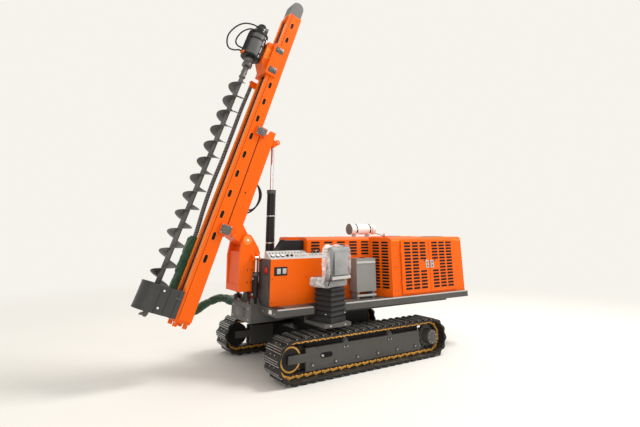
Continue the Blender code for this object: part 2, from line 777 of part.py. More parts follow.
def make_seat(root):
    """The operator's seat on its bellows, turned a little towards the mast."""
    place = axis("seat_place", (*SEAT_PLACE, SEAT_FLOOR), root, (0, 0, SEAT_TURN))
    bracket = finish(
        "seat_bracket",
        box((0.36, 0.52, SEAT_FLOOR - 0.045), (0.80, 1.04, SEAT_FLOOR)),
        "charcoal",
        root,
    )
    hanger_top = DECK_TOP - DECK_DEPTH - GAP
    join(bracket, box((0.36, 0.52, SEAT_FLOOR - 0.01), (0.80, 0.55, hanger_top)))
    half = BELLOWS_SIZE / 2
    folds = 6
    base_height = 0.06
    height = (BELLOWS_TOP - SEAT_FLOOR - GAP - base_height) / folds
    levels = [(GAP, half * 0.95), (base_height, half * 0.95)]
    for number in range(folds):
        z = base_height + GAP + number * height
        levels.append((z + height * 0.15, half * 0.86))
        levels.append((z + height * 0.55, half))
    levels.append((BELLOWS_TOP - SEAT_FLOOR, half * 0.86))
    bm = bmesh.new()
    previous = None
    for z, reach in levels:
        ring = [bm.verts.new((x * reach, y * reach, z)) for x, y in ((-1, -1), (1, -1), (1, 1), (-1, 1))]
        if previous:
            for i in range(4):
                bm.faces.new((previous[i - 1], previous[i], ring[i], ring[i - 1]))
        else:
            bm.faces.new(ring[::-1])
        previous = ring
    bm.faces.new(previous)
    finish("seat_bellows", bm, "black", place)
    seat_low = BELLOWS_TOP - SEAT_FLOOR + GAP
    wide = SEAT_WIDTH / 2
    cushion = [
        (-0.21, seat_low + 0.075),
        (-0.17, seat_low + 0.015),
        (-0.08, seat_low),
        (0.16, seat_low),
        (0.16, seat_low + 0.10),
        (0.05, seat_low + 0.10),
        (-0.15, seat_low + 0.13),
        (-0.19, seat_low + 0.12),
    ]
    finish("seat_cushion", plate(cushion, "x", -wide, wide), "seat_grey", place)
    back_low = seat_low + 0.10 + GAP
    back = [
        (0.06, back_low),
        (0.155, back_low),
        (SEAT_BACK_REACH, SEAT_BACK_TOP - SEAT_FLOOR - 0.03),
        (0.19, SEAT_BACK_TOP - SEAT_FLOOR),
        (0.14, SEAT_BACK_TOP - SEAT_FLOOR - 0.02),
    ]
    finish("seat_back", plate(back, "x", -wide + 0.01, wide - 0.01), "seat_grey", place)


def make_tanks(root):
    """The oil tank on the left, the fuel tank on the right, each on its rails."""
    for name, sign, front in (("oil_tank", 1, TANK_FRONT), ("fuel_tank", -1, 0.30)):
        low, high = span(sign, TANK_INSIDE, TANK_OUTSIDE)
        tank = finish(name, box((TANK_REAR, low, TANK_LOW), (front, high, TANK_TOP)), "light_grey", root)
        foot_low, foot_high = span(sign, TANK_INSIDE + 0.02, TANK_OUTSIDE - 0.02)
        for x in (TANK_REAR + 0.02, front - 0.06):
            join(
                tank,
                box((x, foot_low, DECK_TOP + GAP), (x + 0.04, foot_high, TANK_LOW + 0.01)),
            )


# ---------------------------------------------------------------- mast support


def make_roll_bracket(root):
    """The base on the deck's nose with the two lugs of the roll pin and the feet of the roll cylinders."""
    base = DECK_TOP + GAP
    top = base + 0.018
    wide, narrow, step = 0.34, 0.115, CONSOLE_FRONT + 0.01
    foot = [(1.215, -narrow), (step, -narrow), (step, -wide), (NOSE_FRONT, -wide)]
    foot += [(x, -y) for x, y in reversed(foot)]
    bracket = finish("roll_bracket", plate(foot, "z", base, top), "charcoal", root)
    for start in (1.215, 1.445):
        shape = [(-0.11, top - 0.005), (0.11, top - 0.005)] + arc((0, ROLL_HEIGHT), ROLL_LUG_RADIUS, 0, 180, 10)
        join(bracket, plate(shape, "x", start, start + 0.050))
    for sign in (-1, 1):
        y = sign * ROLL_CYLINDER_Y
        for x_low, x_high in lug_pair(ROLL_CYLINDER_X, ROLL_PIN_HALF, 0.028):
            shape = [(y - 0.045, top - 0.005), (y + 0.045, top - 0.005)]
            shape += arc((y, ROLL_FOOT_HEIGHT), 0.032, 0, 180, 6)
            join(bracket, plate(shape, "x", x_low, x_high))


def make_fork(root):
    """The fork that rolls on the deck: the carrier's pin in front, the lift cylinder behind."""
    roll = axis("mast_roll_axis", (1.36, 0, ROLL_HEIGHT), root)
    offset = Vector((1.36, 0, ROLL_HEIGHT))

    def local(points):
        return [(x - offset.x, z - offset.z) for x, z in points]

    base_low, base_high = 1.020, 1.110
    fork = finish(
        "mast_fork",
        box(
            (1.405 - offset.x, -FORK_HALF_WIDTH, base_low - offset.z),
            (1.700 - offset.x, FORK_HALF_WIDTH, base_high - offset.z),
        ),
        "orange",
        roll,
    )
    cheek = local(
        [(1.405, 1.05), (1.700, 1.05), (1.715, 1.50), (1.675, 1.72)]
        + arc((PIN_X, PIN_HEIGHT), 0.085, 20, 150, 8)
        + [(1.420, 1.60), (1.394, 1.53), (1.405, 1.40)]
    )
    for sign in (-1, 1):
        join(fork, plate(cheek, "y", *span(sign, FORK_HALF_WIDTH - CHEEK_THICKNESS, FORK_HALF_WIDTH)))
    web_reach = FORK_HALF_WIDTH - CHEEK_THICKNESS / 2
    web_low = (1.650 - offset.x, -web_reach, base_high - 0.03 - offset.z)
    join(fork, box(web_low, (1.690 - offset.x, web_reach, WEB_TOP - offset.z)))
    arm = local([(CYLINDER_FOOT_X - 0.06, 1.03), (1.45, 1.03), (1.45, 1.10), (CYLINDER_FOOT_X - 0.06, 1.10)])
    join(fork, plate(arm, "y", -0.10, 0.10))
    lug = local(
        [(CYLINDER_FOOT_X - 0.055, 1.05), (CYLINDER_FOOT_X + 0.12, 1.05)]
        + arc((CYLINDER_FOOT_X, CYLINDER_FOOT_HEIGHT), 0.055, 0, 180, 8)
    )
    for y_low, y_high in lug_pair(0, LIFT_PIN_HALF, 0.025):
        join(fork, plate(lug, "y", y_low, y_high))
    hub = rod(ROLL_LUG_RADIUS, (1.2655 - offset.x, 0, 0), (1.4445 - offset.x, 0, 0), 20)
    neck = box((1.275 - offset.x, -0.05, 0.02), (1.435 - offset.x, 0.05, base_low + 0.03 - offset.z))
    join(fork, hub, neck)
    for sign in (-1, 1):
        y = sign * ROLL_CYLINDER_Y
        inner = sign * (FORK_HALF_WIDTH - 0.01)
        eye = ROLL_EYE_HEIGHT - offset.z
        shape = [(inner, eye - 0.05), (y, eye - 0.034)]
        shape += arc((y, eye), 0.034, -90, -90 + 180 * sign, 6)
        shape += [(inner, eye + 0.07)]
        for x_low, x_high in lug_pair(ROLL_CYLINDER_X, ROLL_PIN_HALF, 0.025):
            join(fork, plate(shape, "x", x_low - offset.x, x_high - offset.x))


def cylinder_pair(name, foot, radius, rod_radius, neck, length, rod_start, eye, pin_axis, pin_half):
    """A barrel with a bore and the rod that slides in it, along z from the foot's pin."""
    across = Vector(pin_axis)
    barrel = finish(f"{name}_barrel", rod(radius, (0, 0, neck), (0, 0, length), 16), "black", foot, smooth=True)
    join(
        barrel,
        rod(pin_half * 0.9, (0, 0, 0), (0, 0, neck + 0.02), 12),
        rod(radius * 0.75, -across * pin_half, across * pin_half, 14),
        rod(radius * 1.10, (0, 0, length - 0.045), (0, 0, length + 0.010), 16),
    )
    bore = rod_radius + RUNNER_GAP
    cut(barrel, rod(bore, (0, 0, neck + 0.045), (0, 0, length + 0.05), 14))
    bar = rod(rod_radius, (0, 0, rod_start), (0, 0, eye), 14)
    piston = finish(f"{name}_rod", bar, "chrome", foot, smooth=True)
    middle = Vector((0, 0, eye))
    join(piston, rod(rod_radius * 1.45, middle - across * pin_half, middle + across * pin_half, 14))


def make_roll_cylinders(root):
    """Two short cylinders that roll the fork from the deck."""
    length = ROLL_EYE_HEIGHT - ROLL_FOOT_HEIGHT
    for side, sign in sides():
        place = (ROLL_CYLINDER_X, sign * ROLL_CYLINDER_Y, ROLL_FOOT_HEIGHT)
        foot = axis(f"{side}_roll_cylinder_axis", place, root)
        cylinder_pair(f"{side}_roll", foot, 0.040, 0.021, 0.050, 0.36, 0.16, length, (1, 0, 0), ROLL_PIN_HALF)


def make_lift_cylinder(root):
    """The cylinder that tilts the mast: its foot on the fork's arm, its eye at the carrier's ears."""
    eye_x = PIN_X + EYE_X * cos(LEAN) - EYE_Z * sin(LEAN) - CYLINDER_FOOT_X
    eye_z = PIN_HEIGHT + EYE_X * sin(LEAN) + EYE_Z * cos(LEAN) - CYLINDER_FOOT_HEIGHT
    lean = atan2(eye_x, eye_z)
    foot = axis("lift_cylinder_axis", (CYLINDER_FOOT_X, 0, CYLINDER_FOOT_HEIGHT), root, (0, lean, 0))
    length = hypot(eye_x, eye_z)
    cylinder_pair("lift", foot, BARREL_RADIUS, ROD_RADIUS, 0.080, BARREL_LENGTH, 0.78, length, (0, 1, 0), LIFT_PIN_HALF)


def make_carrier(root):
    """The slide frame behind the mast, from the tilt pin up to the lift cylinder's ears."""
    tilt = axis("mast_tilt_axis", (PIN_X, 0, PIN_HEIGHT), root, (0, -LEAN, 0))
    front = MAST_REAR - RUNNING_GAP
    outer = FORK_HALF_WIDTH - CHEEK_THICKNESS - RUNNER_GAP
    outline = (
        [(CARRIER_REAR, 0.19), (-0.07, 0.03)]
        + arc((0, 0), 0.075, 160, 290, 7)
        + [(0.20, -0.02), (0.262, 0.04), (front, 0.04), (front, 1.535), (0.262, 1.535)]
        + [(0.20, 1.70), (0.10, 1.70), (CARRIER_REAR - 0.02, 1.45)]
    )
    carrier = finish("mast_carrier", plate(outline, "y", -CARRIER_HALF_WIDTH, CARRIER_HALF_WIDTH), "orange", tilt)
    pocket = [(0.06, 0.26), (front - 0.02, 0.26), (front - 0.02, 1.9), (-0.2, 1.9), (-0.2, 0.26)]
    cut(carrier, plate(pocket, "y", -CARRIER_HALF_WIDTH + 0.018, CARRIER_HALF_WIDTH - 0.018))
    join(carrier, rod(0.060, (0, -outer, 0), (0, outer, 0), 16))
    ear = (
        [(front - 0.01, 1.42), (front - 0.01, 1.53), (0.262, 1.53), (0.22, 1.66), (0.05, 1.64)]
        + arc((EYE_X, EYE_Z), 0.055, 65, 270, 9)
        + [(0.10, 1.50)]
    )
    for y_low, y_high in lug_pair(0, LIFT_PIN_HALF, 0.024):
        join(carrier, plate(ear, "y", y_low, y_high))
    pad_inside = MAST_HALF_WIDTH + RUNNER_GAP
    pad_outside = pad_inside + 0.046
    for name, low, high in (("lower_slide_clamp", -0.035, 0.11), ("upper_slide_clamp", 1.5353, 1.68)):
        back = box((0.27, -pad_outside, low), (front, pad_outside, high))
        if name == "lower_slide_clamp":
            back = box((0.27, -pad_outside, low), (front, pad_outside, 0.0397))
        clamp = finish(name, back, "charcoal", tilt)
        for sign in (-1, 1):
            arm_low, arm_high = span(sign, pad_inside, pad_outside)
            join(clamp, box((0.27, arm_low, low), (0.452, arm_high, high)))
    for number, route in enumerate(CARRIER_HOSE_ROUTES, 1):
        hose(f"carrier_hose_{number}", route, HOSE_RADIUS, "black", tilt)
    return tilt


# ---------------------------------------------------------------- mast


def oval(x, z, length, width, steps=4):
    """A slot outline in (x, z), long along z."""
    reach = (length - width) / 2
    upper = arc((x, z + reach), width / 2, 0, 180, steps)
    lower = arc((x, z - reach), width / 2, 180, 360, steps)
    return upper + lower


def make_mast(tilt):
    """The mast with its front recess and side slots, its cap, foot and feed chain."""
    mast_axis = axis("mast_slide_axis", (0, 0, 0), tilt)
    half = MAST_HALF_WIDTH
    floor = MAST_FRONT - MAST_RECESS_DEPTH
    inner = MAST_RECESS_HALF_WIDTH
    outline = [
        (MAST_REAR, -half),
        (MAST_FRONT, -half),
        (MAST_FRONT, -inner),
        (floor, -inner),
        (floor, inner),
        (MAST_FRONT, inner),
        (MAST_FRONT, half),
        (MAST_REAR, half),
    ]
    mast = finish("mast", plate(outline, "z", MAST_LOW, MAST_HIGH), "orange", mast_axis)
    cutter = bmesh.new()
    for sign in (-1, 1):
        for number in range(SLOTS):
            z = SLOT_FIRST + number * SLOT_SPACING
            hole = plate(oval(SLOT_X, z, SLOT_LENGTH, SLOT_WIDTH), "y", *span(sign, half - SLOT_DEPTH, half + 0.02))
            piece = bpy.data.meshes.new("slot")
            hole.to_mesh(piece)
            hole.free()
            cutter.from_mesh(piece)
            bpy.data.meshes.remove(piece)
    cut(mast, cutter)
    base = MAST_HIGH + GAP
    crown = arc((MAST_FRONT - CAP_RADIUS, base + CAP_NECK), CAP_RADIUS, 0, 180, 10)
    cap_shape = [(MAST_REAR, base), (MAST_FRONT, base)] + crown
    finish("mast_cap", plate(cap_shape, "y", -CAP_HALF_WIDTH, CAP_HALF_WIDTH), "charcoal", mast_axis)
    chain_x = MAST_FRONT - 0.030
    finish(
        "feed_chain",
        box((floor + GAP, -0.022, MAST_LOW + 0.05), (chain_x, 0.022, MAST_HIGH - 0.02)),
        "ochre",
        mast_axis,
    )
    inset = 0.01
    foot_low = (MAST_REAR + inset, -half + inset, MAST_LOW - FOOT_THICKNESS)
    join(mast, box(foot_low, (MAST_FRONT - inset, half - inset, MAST_LOW + inset)))
    for x in (MAST_REAR + 0.05, MAST_FRONT - 0.05):
        for y in (-0.11, 0.11):
            join(mast, rod(0.030, (x, y, MAST_LOW - FOOT_THICKNESS - 0.055), (x, y, MAST_LOW - 0.02), 10))
    bracket_low = BUNDLE_TOP - 0.10
    plate_near = half + 0.038
    join(
        mast,
        box((0.38, -plate_near - 0.002, bracket_low), (0.44, -half + 0.005, BUNDLE_TOP)),
        box((0.38, -plate_near - 0.006, bracket_low), (0.70, -plate_near, BUNDLE_TOP + 0.02)),
        box((0.61, BUNDLE_Y - 0.04, BUNDLE_TOP + RUNNER_GAP), (0.70, -plate_near, BUNDLE_TOP + 0.02)),
    )
    make_guide(mast_axis)
    hose("mast_hose_bundle", BUNDLE_ROUTE, BUNDLE_RADIUS, "black", mast_axis)
    hose("mast_hose_sleeve", MAST_SLEEVE_ROUTE, MAST_SLEEVE_RADIUS, "sleeve_green", mast_axis)
    return mast_axis


def make_guide(mast_axis):
    """The shell at the mast's foot that the auger turns in."""
    rear = MAST_FRONT + GAP
    reach = GUIDE_HALF_WIDTH
    front = arc((AUGER_X, 0), reach, -80, 80, 12)
    outline = [(rear, -reach), (AUGER_X, -reach)] + front + [(AUGER_X, reach), (rear, reach)]
    inner = reach - GUIDE_WALL
    hole = (
        [(rear + GUIDE_WALL, -inner), (AUGER_X, -inner)]
        + arc((AUGER_X, 0), inner, -80, 80, 12)
        + [(AUGER_X, inner), (rear + GUIDE_WALL, inner)]
    )
    finish("auger_guide", plate(outline, "z", GUIDE_LOW, GUIDE_HIGH, hole), "charcoal", mast_axis)


def make_head(mast_axis):
    """The carriage that runs on the mast's front, and the rotary head it carries."""
    feed = axis("head_feed_axis", (0, 0, 0), mast_axis)
    near = MAST_FRONT + RUNNING_GAP
    side_in = MAST_HALF_WIDTH + RUNNER_GAP
    low, high = CARRIAGE_LOW, CARRIAGE_HIGH
    shape = [
        (0.46, -side_in - 0.030),
        (near + 0.06, -side_in - 0.030),
        (near + 0.06, side_in + 0.030),
        (0.46, side_in + 0.030),
        (0.46, side_in),
        (near, side_in),
        (near, -side_in),
        (0.46, -side_in),
    ]
    carriage = finish("head_carriage", plate(shape, "z", low, high), "orange", feed)
    arm_end = AUGER_X - HEAD_RADIUS - GAP
    arm = [(near + 0.05, low + 0.02), (near + 0.05, high), (arm_end, high - 0.02), (arm_end, HEAD_LOW + 0.02)]
    join(carriage, plate(arm, "y", -0.13, 0.13))
    finish(
        "rotary_head",
        rod(HEAD_RADIUS, (AUGER_X, 0, HEAD_LOW), (AUGER_X, 0, HEAD_HIGH), 28),
        "charcoal",
        feed,
        smooth=True,
    )
    motor = finish(
        "head_motor",
        box((AUGER_X - 0.10, -0.09, HEAD_HIGH + GAP), (AUGER_X + 0.09, 0.09, HEAD_HIGH + 0.14)),
        "black",
        feed,
    )
    join(motor, rod(0.06, (AUGER_X, 0, HEAD_HIGH + 0.12), (AUGER_X, 0, HEAD_HIGH + 0.20), 16))
    for number, route in enumerate(HEAD_HOSE_ROUTES, 1):
        hose(f"head_hose_{number}", route, HOSE_RADIUS, "black", feed)
    make_auger(feed)


def make_auger(feed):
    """The auger: a stem with one helical flight, made by twisting one cross-section up the stem."""
    spin = axis("auger_spin_axis", (AUGER_X, 0, 0), feed)
    steps_a_turn = 12
    turns = (FLIGHT_TOP - AUGER_LOW) / AUGER_PITCH
    steps = round(turns * steps_a_turn)
    stem = AUGER_STEM_RADIUS
    half_edge = 0.010 / AUGER_RADIUS * 1.6
    section = [(AUGER_RADIUS, -half_edge), (AUGER_RADIUS, half_edge)]
    section += [(stem, radians(a)) for a in (30, 100, 180, 260, 330)]
    bm = bmesh.new()
    previous = None
    for step in range(steps + 1):
        turn = tau * step / steps_a_turn
        z = AUGER_LOW + (FLIGHT_TOP - AUGER_LOW) * step / steps
        ring = [bm.verts.new((r * cos(a + turn), r * sin(a + turn), z)) for r, a in section]
        if previous:
            for i in range(len(ring)):
                bm.faces.new((previous[i - 1], previous[i], ring[i], ring[i - 1]))
        else:
            bm.faces.new(ring[::-1])
        previous = ring
    bm.faces.new(previous)
    auger = finish("auger", bm, "charcoal", spin)
    top = HEAD_LOW - GAP
    join(auger, rod(stem + 0.004, (0, 0, FLIGHT_TOP - 0.03), (0, 0, top - 0.15), 12))
    join(auger, rod(0.085, (0, 0, top - 0.17), (0, 0, top), 16))


def main():
    clear_scene()
    root = axis("machine", (-MIDDLE_X, -MIDDLE_Y, 0))
    make_undercarriage(root)
    make_car_body(root)
    make_deck(root)
    make_front_hood(root)
    make_housing(root)
    make_roof_fittings(root)
    make_console(root)
    make_seat(root)
    make_tanks(root)
    make_roll_bracket(root)
    make_fork(root)
    make_roll_cylinders(root)
    make_lift_cylinder(root)
    hose("deck_hose_sleeve", DECK_SLEEVE_ROUTE, DECK_SLEEVE_RADIUS, "sleeve_green", root)
    tilt = make_carrier(root)
    mast_axis = make_mast(tilt)
    make_head(mast_axis)


main()
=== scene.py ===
"""Looks of the crawler pile driver rig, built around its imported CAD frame."""

import json
from math import atan2, cos, hypot, pi, radians, sin, tan, tau

import bmesh
import bpy
from mathutils import Matrix, Vector, noise


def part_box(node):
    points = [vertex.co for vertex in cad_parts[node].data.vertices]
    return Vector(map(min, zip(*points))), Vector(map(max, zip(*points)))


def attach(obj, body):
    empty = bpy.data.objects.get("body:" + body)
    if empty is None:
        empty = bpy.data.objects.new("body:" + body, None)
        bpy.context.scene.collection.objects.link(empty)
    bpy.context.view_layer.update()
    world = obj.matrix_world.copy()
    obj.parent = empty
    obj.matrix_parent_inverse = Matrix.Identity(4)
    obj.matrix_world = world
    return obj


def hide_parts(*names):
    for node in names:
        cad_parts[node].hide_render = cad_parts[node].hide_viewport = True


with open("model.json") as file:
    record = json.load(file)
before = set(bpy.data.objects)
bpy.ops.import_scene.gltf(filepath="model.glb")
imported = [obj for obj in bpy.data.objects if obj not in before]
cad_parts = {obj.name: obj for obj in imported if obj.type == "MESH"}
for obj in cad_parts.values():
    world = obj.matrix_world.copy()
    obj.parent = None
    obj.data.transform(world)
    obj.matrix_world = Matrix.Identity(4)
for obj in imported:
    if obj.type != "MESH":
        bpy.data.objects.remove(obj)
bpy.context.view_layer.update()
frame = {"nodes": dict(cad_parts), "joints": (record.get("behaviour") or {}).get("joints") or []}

# ---------------------------------------------------------------- frames of reference

LEFT_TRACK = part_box("left_track")
RIGHT_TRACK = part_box("right_track")
MIDDLE = Vector(((LEFT_TRACK[0].x + LEFT_TRACK[1].x) / 2, (LEFT_TRACK[1].y + RIGHT_TRACK[0].y) / 2, 0))
BASE = Matrix.Translation(MIDDLE)  # origin on the ground, midway between the tracks
JOINTS = {joint["name"]: joint for joint in frame["joints"]}
PIN = Vector(JOINTS["mast_tilt"]["pos_m"])
UP = Vector(JOINTS["mast_slide"]["axis"]).normalized()
FRONT = Vector((UP.z, 0, -UP.x))
MAST = Matrix.Translation(PIN) @ Matrix((FRONT, (0, 1, 0), UP)).transposed().to_4x4()


def near_box(node):
    """The node's box measured from BASE."""
    low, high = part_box(node)
    return low - MIDDLE, high - MIDDLE


# ---------------------------------------------------------------- camera

CAMERA_PLACE = Vector((4.3193, 6.3109, 1.8200))
CAMERA_HEADING = 0.5792  # radians from -Y towards -X
CAMERA_PITCH = 0.2966
camera_data = bpy.data.cameras.new("camera")
camera_data.lens = 24.29
camera_data.sensor_width = 36.0
camera_data.shift_y = -0.1773
camera = bpy.data.objects.new("camera", camera_data)
bpy.context.scene.collection.objects.link(camera)
camera.location = MIDDLE + CAMERA_PLACE
sight = Vector(
    (
        -sin(CAMERA_HEADING) * cos(CAMERA_PITCH),
        -cos(CAMERA_HEADING) * cos(CAMERA_PITCH),
        sin(CAMERA_PITCH),
    )
)
camera.rotation_mode = "QUATERNION"
camera.rotation_quaternion = sight.to_track_quat("-Z", "Y")
bpy.context.scene.camera = camera
bpy.context.scene.view_settings.view_transform = "Standard"

# ---------------------------------------------------------------- materials


def shade(colour, factor):
    return (*[min(1.0, c * factor) for c in colour[:3]], 1)


class Nodes:
    """A material's node tree, with short ways to add and join nodes."""

    def __init__(self, name):
        self.material = bpy.data.materials.new(name)
        self.material.use_nodes = True
        self.tree = self.material.node_tree
        self.shader = self.tree.nodes["Principled BSDF"]
        self.coords = self.tree.nodes.new("ShaderNodeTexCoord").outputs["Object"]

    def node(self, kind, **inputs):
        made = self.tree.nodes.new(kind)
        for key, value in inputs.items():
            socket = made.inputs[key.replace("_", " ")]
            if isinstance(value, bpy.types.NodeSocket):
                self.tree.links.new(value, socket)
            else:
                socket.default_value = value
        return made

    def noise(self, scale, detail=3.0, stretch=None):
        vector = self.coords
        if stretch:
            vector = self.node("ShaderNodeMapping", Vector=vector, Scale=stretch).outputs[0]
        return self.node("ShaderNodeTexNoise", Vector=vector, Scale=scale, Detail=detail).outputs["Fac"]

    def ramp(self, value, low, high, to_low=0.0, to_high=1.0):
        made = self.tree.nodes.new("ShaderNodeMapRange")
        self.tree.links.new(value, made.inputs["Value"])
        for key, number in (("From Min", low), ("From Max", high), ("To Min", to_low), ("To Max", to_high)):
            made.inputs[key].default_value = number
        return made.outputs["Result"]

    def times(self, a, b, operation="MULTIPLY"):
        made = self.tree.nodes.new("ShaderNodeMath")
        made.operation = operation
        for socket, value in zip(made.inputs, (a, b)):
            if isinstance(value, bpy.types.NodeSocket):
                self.tree.links.new(value, socket)
            else:
                socket.default_value = value
        return made.outputs[0]

    def mix(self, factor, a, b):
        made = self.tree.nodes.new("ShaderNodeMix")
        made.data_type = "RGBA"
        for socket, value in ((made.inputs[0], factor), (made.inputs[6], a), (made.inputs[7], b)):
            if isinstance(value, bpy.types.NodeSocket):
                self.tree.links.new(value, socket)
            else:
                socket.default_value = value
        return made.outputs[2]

    def rounded(self, radius):
        made = self.tree.nodes.new("ShaderNodeBevel")
        made.samples = 4
        made.inputs["Radius"].default_value = radius
        return made.outputs[0]

    def edges(self, normal, low=0.02, high=0.25):
        """1 where the rounded normal leaves the face's own, at an edge."""
        own = self.tree.nodes.new("ShaderNodeNewGeometry").outputs["Normal"]
        dot = self.tree.nodes.new("ShaderNodeVectorMath")
        dot.operation = "DOT_PRODUCT"
        self.tree.links.new(own, dot.inputs[0])
        self.tree.links.new(normal, dot.inputs[1])
        return self.ramp(dot.outputs["Value"], 1 - low, 1 - high)

    def bump(self, height, strength, distance, normal=None):
        made = self.node("ShaderNodeBump", Height=height, Strength=strength, Distance=distance)
        if normal:
            self.tree.links.new(normal, made.inputs["Normal"])
        return made.outputs[0]

    def link(self, value, socket):
        self.tree.links.new(value, self.shader.inputs[socket])

    def put(self, **values):
        for key, value in values.items():
            self.shader.inputs[key.replace("_", " ")].default_value = value


def coated(name, colour, rough, metal=0.0, coat=0.0, vary=0.10, grain=(260, 0.05, 0.0004), wear_and_highlight=None,
           wear_and_highlight_amount=0.5, radius=0.004, dust=0.0, streaks=0.0, patch=1.6, gloss=0.22):
    """Painted or bare metal and plastic: cloudy colour, rounded edges lightened in patches (partly paint wear, partly
    a painted edge highlight), fine grain and settled dust.
    """
    n = Nodes(name)
    cloud = n.noise(patch, 4)
    fine = n.noise(38, 5)
    base = n.mix(n.ramp(cloud, 0.32, 0.68), shade(colour, 1 - vary), shade(colour, 1 + vary))
    base = n.mix(n.times(n.ramp(fine, 0.45, 0.75), 0.35 * vary * 4), base, shade(colour, 0.72))
    if streaks:
        run = n.noise(5.0, 5, (6, 6, 0.35))
        base = n.mix(n.times(n.ramp(run, 0.52, 0.78), streaks), base, shade(colour, 0.62))
    normal = n.rounded(radius)
    # Edges lighten in patches towards a lighter tint: partly paint wear, partly a painted edge highlight.
    if wear_and_highlight:
        wear_and_highlight_patches = n.ramp(n.noise(55, 6), 0.42, 0.62)
        base = n.mix(n.times(n.times(n.edges(normal), wear_and_highlight_patches), wear_and_highlight_amount), base, wear_and_highlight)
    if dust:
        up = n.tree.nodes.new("ShaderNodeSeparateXYZ")
        n.tree.links.new(n.tree.nodes.new("ShaderNodeNewGeometry").outputs["Normal"], up.inputs[0])
        lie = n.times(n.ramp(up.outputs["Z"], 0.5, 1.0), n.ramp(n.noise(9, 6), 0.35, 0.7))
        base = n.mix(n.times(lie, dust), base, (0.42, 0.40, 0.36, 1))
    n.link(base, "Base Color")
    n.link(n.ramp(n.noise(11, 5), 0.3, 0.7, max(0.04, rough - 0.07), rough + 0.09), "Roughness")
    n.link(n.bump(n.noise(grain[0], 3), grain[1], grain[2], normal), "Normal")
    n.put(Metallic=metal, Coat_Weight=coat, Coat_Roughness=0.12, Specular_IOR_Level=gloss)
    return n.material


# The edge colours given below are lighter tints of each base: partly wear, partly a painted edge highlight.
ORANGE_COLOUR = (0.84, 0.120, 0.003, 1)
ORANGE = coated("orange_paint", ORANGE_COLOUR, 0.36, coat=0.06, vary=0.045, grain=(420, 0.06, 0.0003),
                wear_and_highlight=(1.0, 0.42, 0.12, 1), wear_and_highlight_amount=0.55, radius=0.005, streaks=0.10, dust=0.05, gloss=0.12)
# A lighter copy of the orange paint: a painted highlight, used on flanges, lips, rims and bosses.
HIGHLIGHT_ORANGE = coated("painted_highlight_orange", (0.96, 0.235, 0.018, 1), 0.34, coat=0.10, vary=0.05, grain=(420, 0.06, 0.0003),
                wear_and_highlight=(1.0, 0.55, 0.25, 1), wear_and_highlight_amount=0.6)
CHARCOAL = coated("charcoal_paint", (0.082, 0.078, 0.072, 1), 0.42, coat=0.12, vary=0.12,
                  grain=(300, 0.10, 0.0005), wear_and_highlight=(0.22, 0.21, 0.20, 1), wear_and_highlight_amount=0.6, dust=0.12, streaks=0.15)
GUIDE_GREY = coated("guide_grey", (0.055, 0.055, 0.054, 1), 0.36, metal=0.25, vary=0.14,
                    grain=(240, 0.12, 0.0005), wear_and_highlight=(0.3, 0.3, 0.29, 1), wear_and_highlight_amount=0.6, streaks=0.2)
SHOE = coated("shoe_steel", (0.020, 0.019, 0.018, 1), 0.50, metal=0.10, vary=0.25, grain=(160, 0.35, 0.0012),
              wear_and_highlight=(0.34, 0.33, 0.31, 1), wear_and_highlight_amount=0.75, radius=0.003, dust=0.18)
TIP = coated("polished_tips", (0.50, 0.49, 0.46, 1), 0.30, metal=0.85, vary=0.2, grain=(180, 0.25, 0.0007),
             wear_and_highlight=(0.75, 0.74, 0.70, 1), wear_and_highlight_amount=0.8)
OCHRE = coated("ochre_links", (0.78, 0.40, 0.075, 1), 0.36, metal=0.45, vary=0.18, grain=(200, 0.18, 0.0006),
               wear_and_highlight=(0.98, 0.72, 0.34, 1), wear_and_highlight_amount=0.8, radius=0.004)
BLACK = coated("black_paint", (0.014, 0.014, 0.014, 1), 0.38, vary=0.15, grain=(260, 0.12, 0.0005),
               wear_and_highlight=(0.10, 0.10, 0.10, 1), wear_and_highlight_amount=0.5)
# Near-black: painted shade in slots, openings and gaps between parts; also some black parts such as the gauge needles.
SHADE_AND_BLACK = coated("painted_shade_and_black", (0.006, 0.005, 0.005, 1), 0.7, vary=0.2, grain=(120, 0.2, 0.001))
RUBBER = coated("bellows_rubber", (0.022, 0.022, 0.023, 1), 0.52, vary=0.2, grain=(190, 0.3, 0.001),
                wear_and_highlight=(0.07, 0.07, 0.07, 1), wear_and_highlight_amount=0.35, radius=0.006, dust=0.10)
AUGER_STEEL = coated("auger_steel", (0.115, 0.112, 0.108, 1), 0.36, metal=0.35, vary=0.22,
                     grain=(140, 0.3, 0.001), wear_and_highlight=(0.42, 0.41, 0.39, 1), wear_and_highlight_amount=0.85, streaks=0.25)
CAST = coated("cast_grey", (0.135, 0.132, 0.130, 1), 0.36, metal=0.55, vary=0.12, grain=(170, 0.35, 0.0012),
              wear_and_highlight=(0.4, 0.4, 0.4, 1), wear_and_highlight_amount=0.5)
CAP_GREY = coated("cap_grey", (0.14, 0.136, 0.130, 1), 0.45, vary=0.08, wear_and_highlight=(0.4, 0.4, 0.38, 1), dust=0.08)
TANK_GREY = coated("tank_grey", (0.24, 0.235, 0.225, 1), 0.34, coat=0.2, vary=0.06, grain=(320, 0.08, 0.0004),
                   wear_and_highlight=(0.6, 0.6, 0.58, 1), streaks=0.12, dust=0.08)
PALE = coated("pale_grey", (0.50, 0.495, 0.48, 1), 0.36, metal=0.15, vary=0.06, grain=(500, 0.08, 0.0003),
              wear_and_highlight=(0.8, 0.8, 0.78, 1), dust=0.06)
WHITE = coated("white_enamel", (0.80, 0.79, 0.77, 1), 0.33, coat=0.2, vary=0.04, wear_and_highlight=(0.9, 0.9, 0.88, 1))
CHROME = coated("chrome_rod", (0.80, 0.80, 0.81, 1), 0.10, metal=1.0, vary=0.03, grain=(60, 0.05, 0.0002))
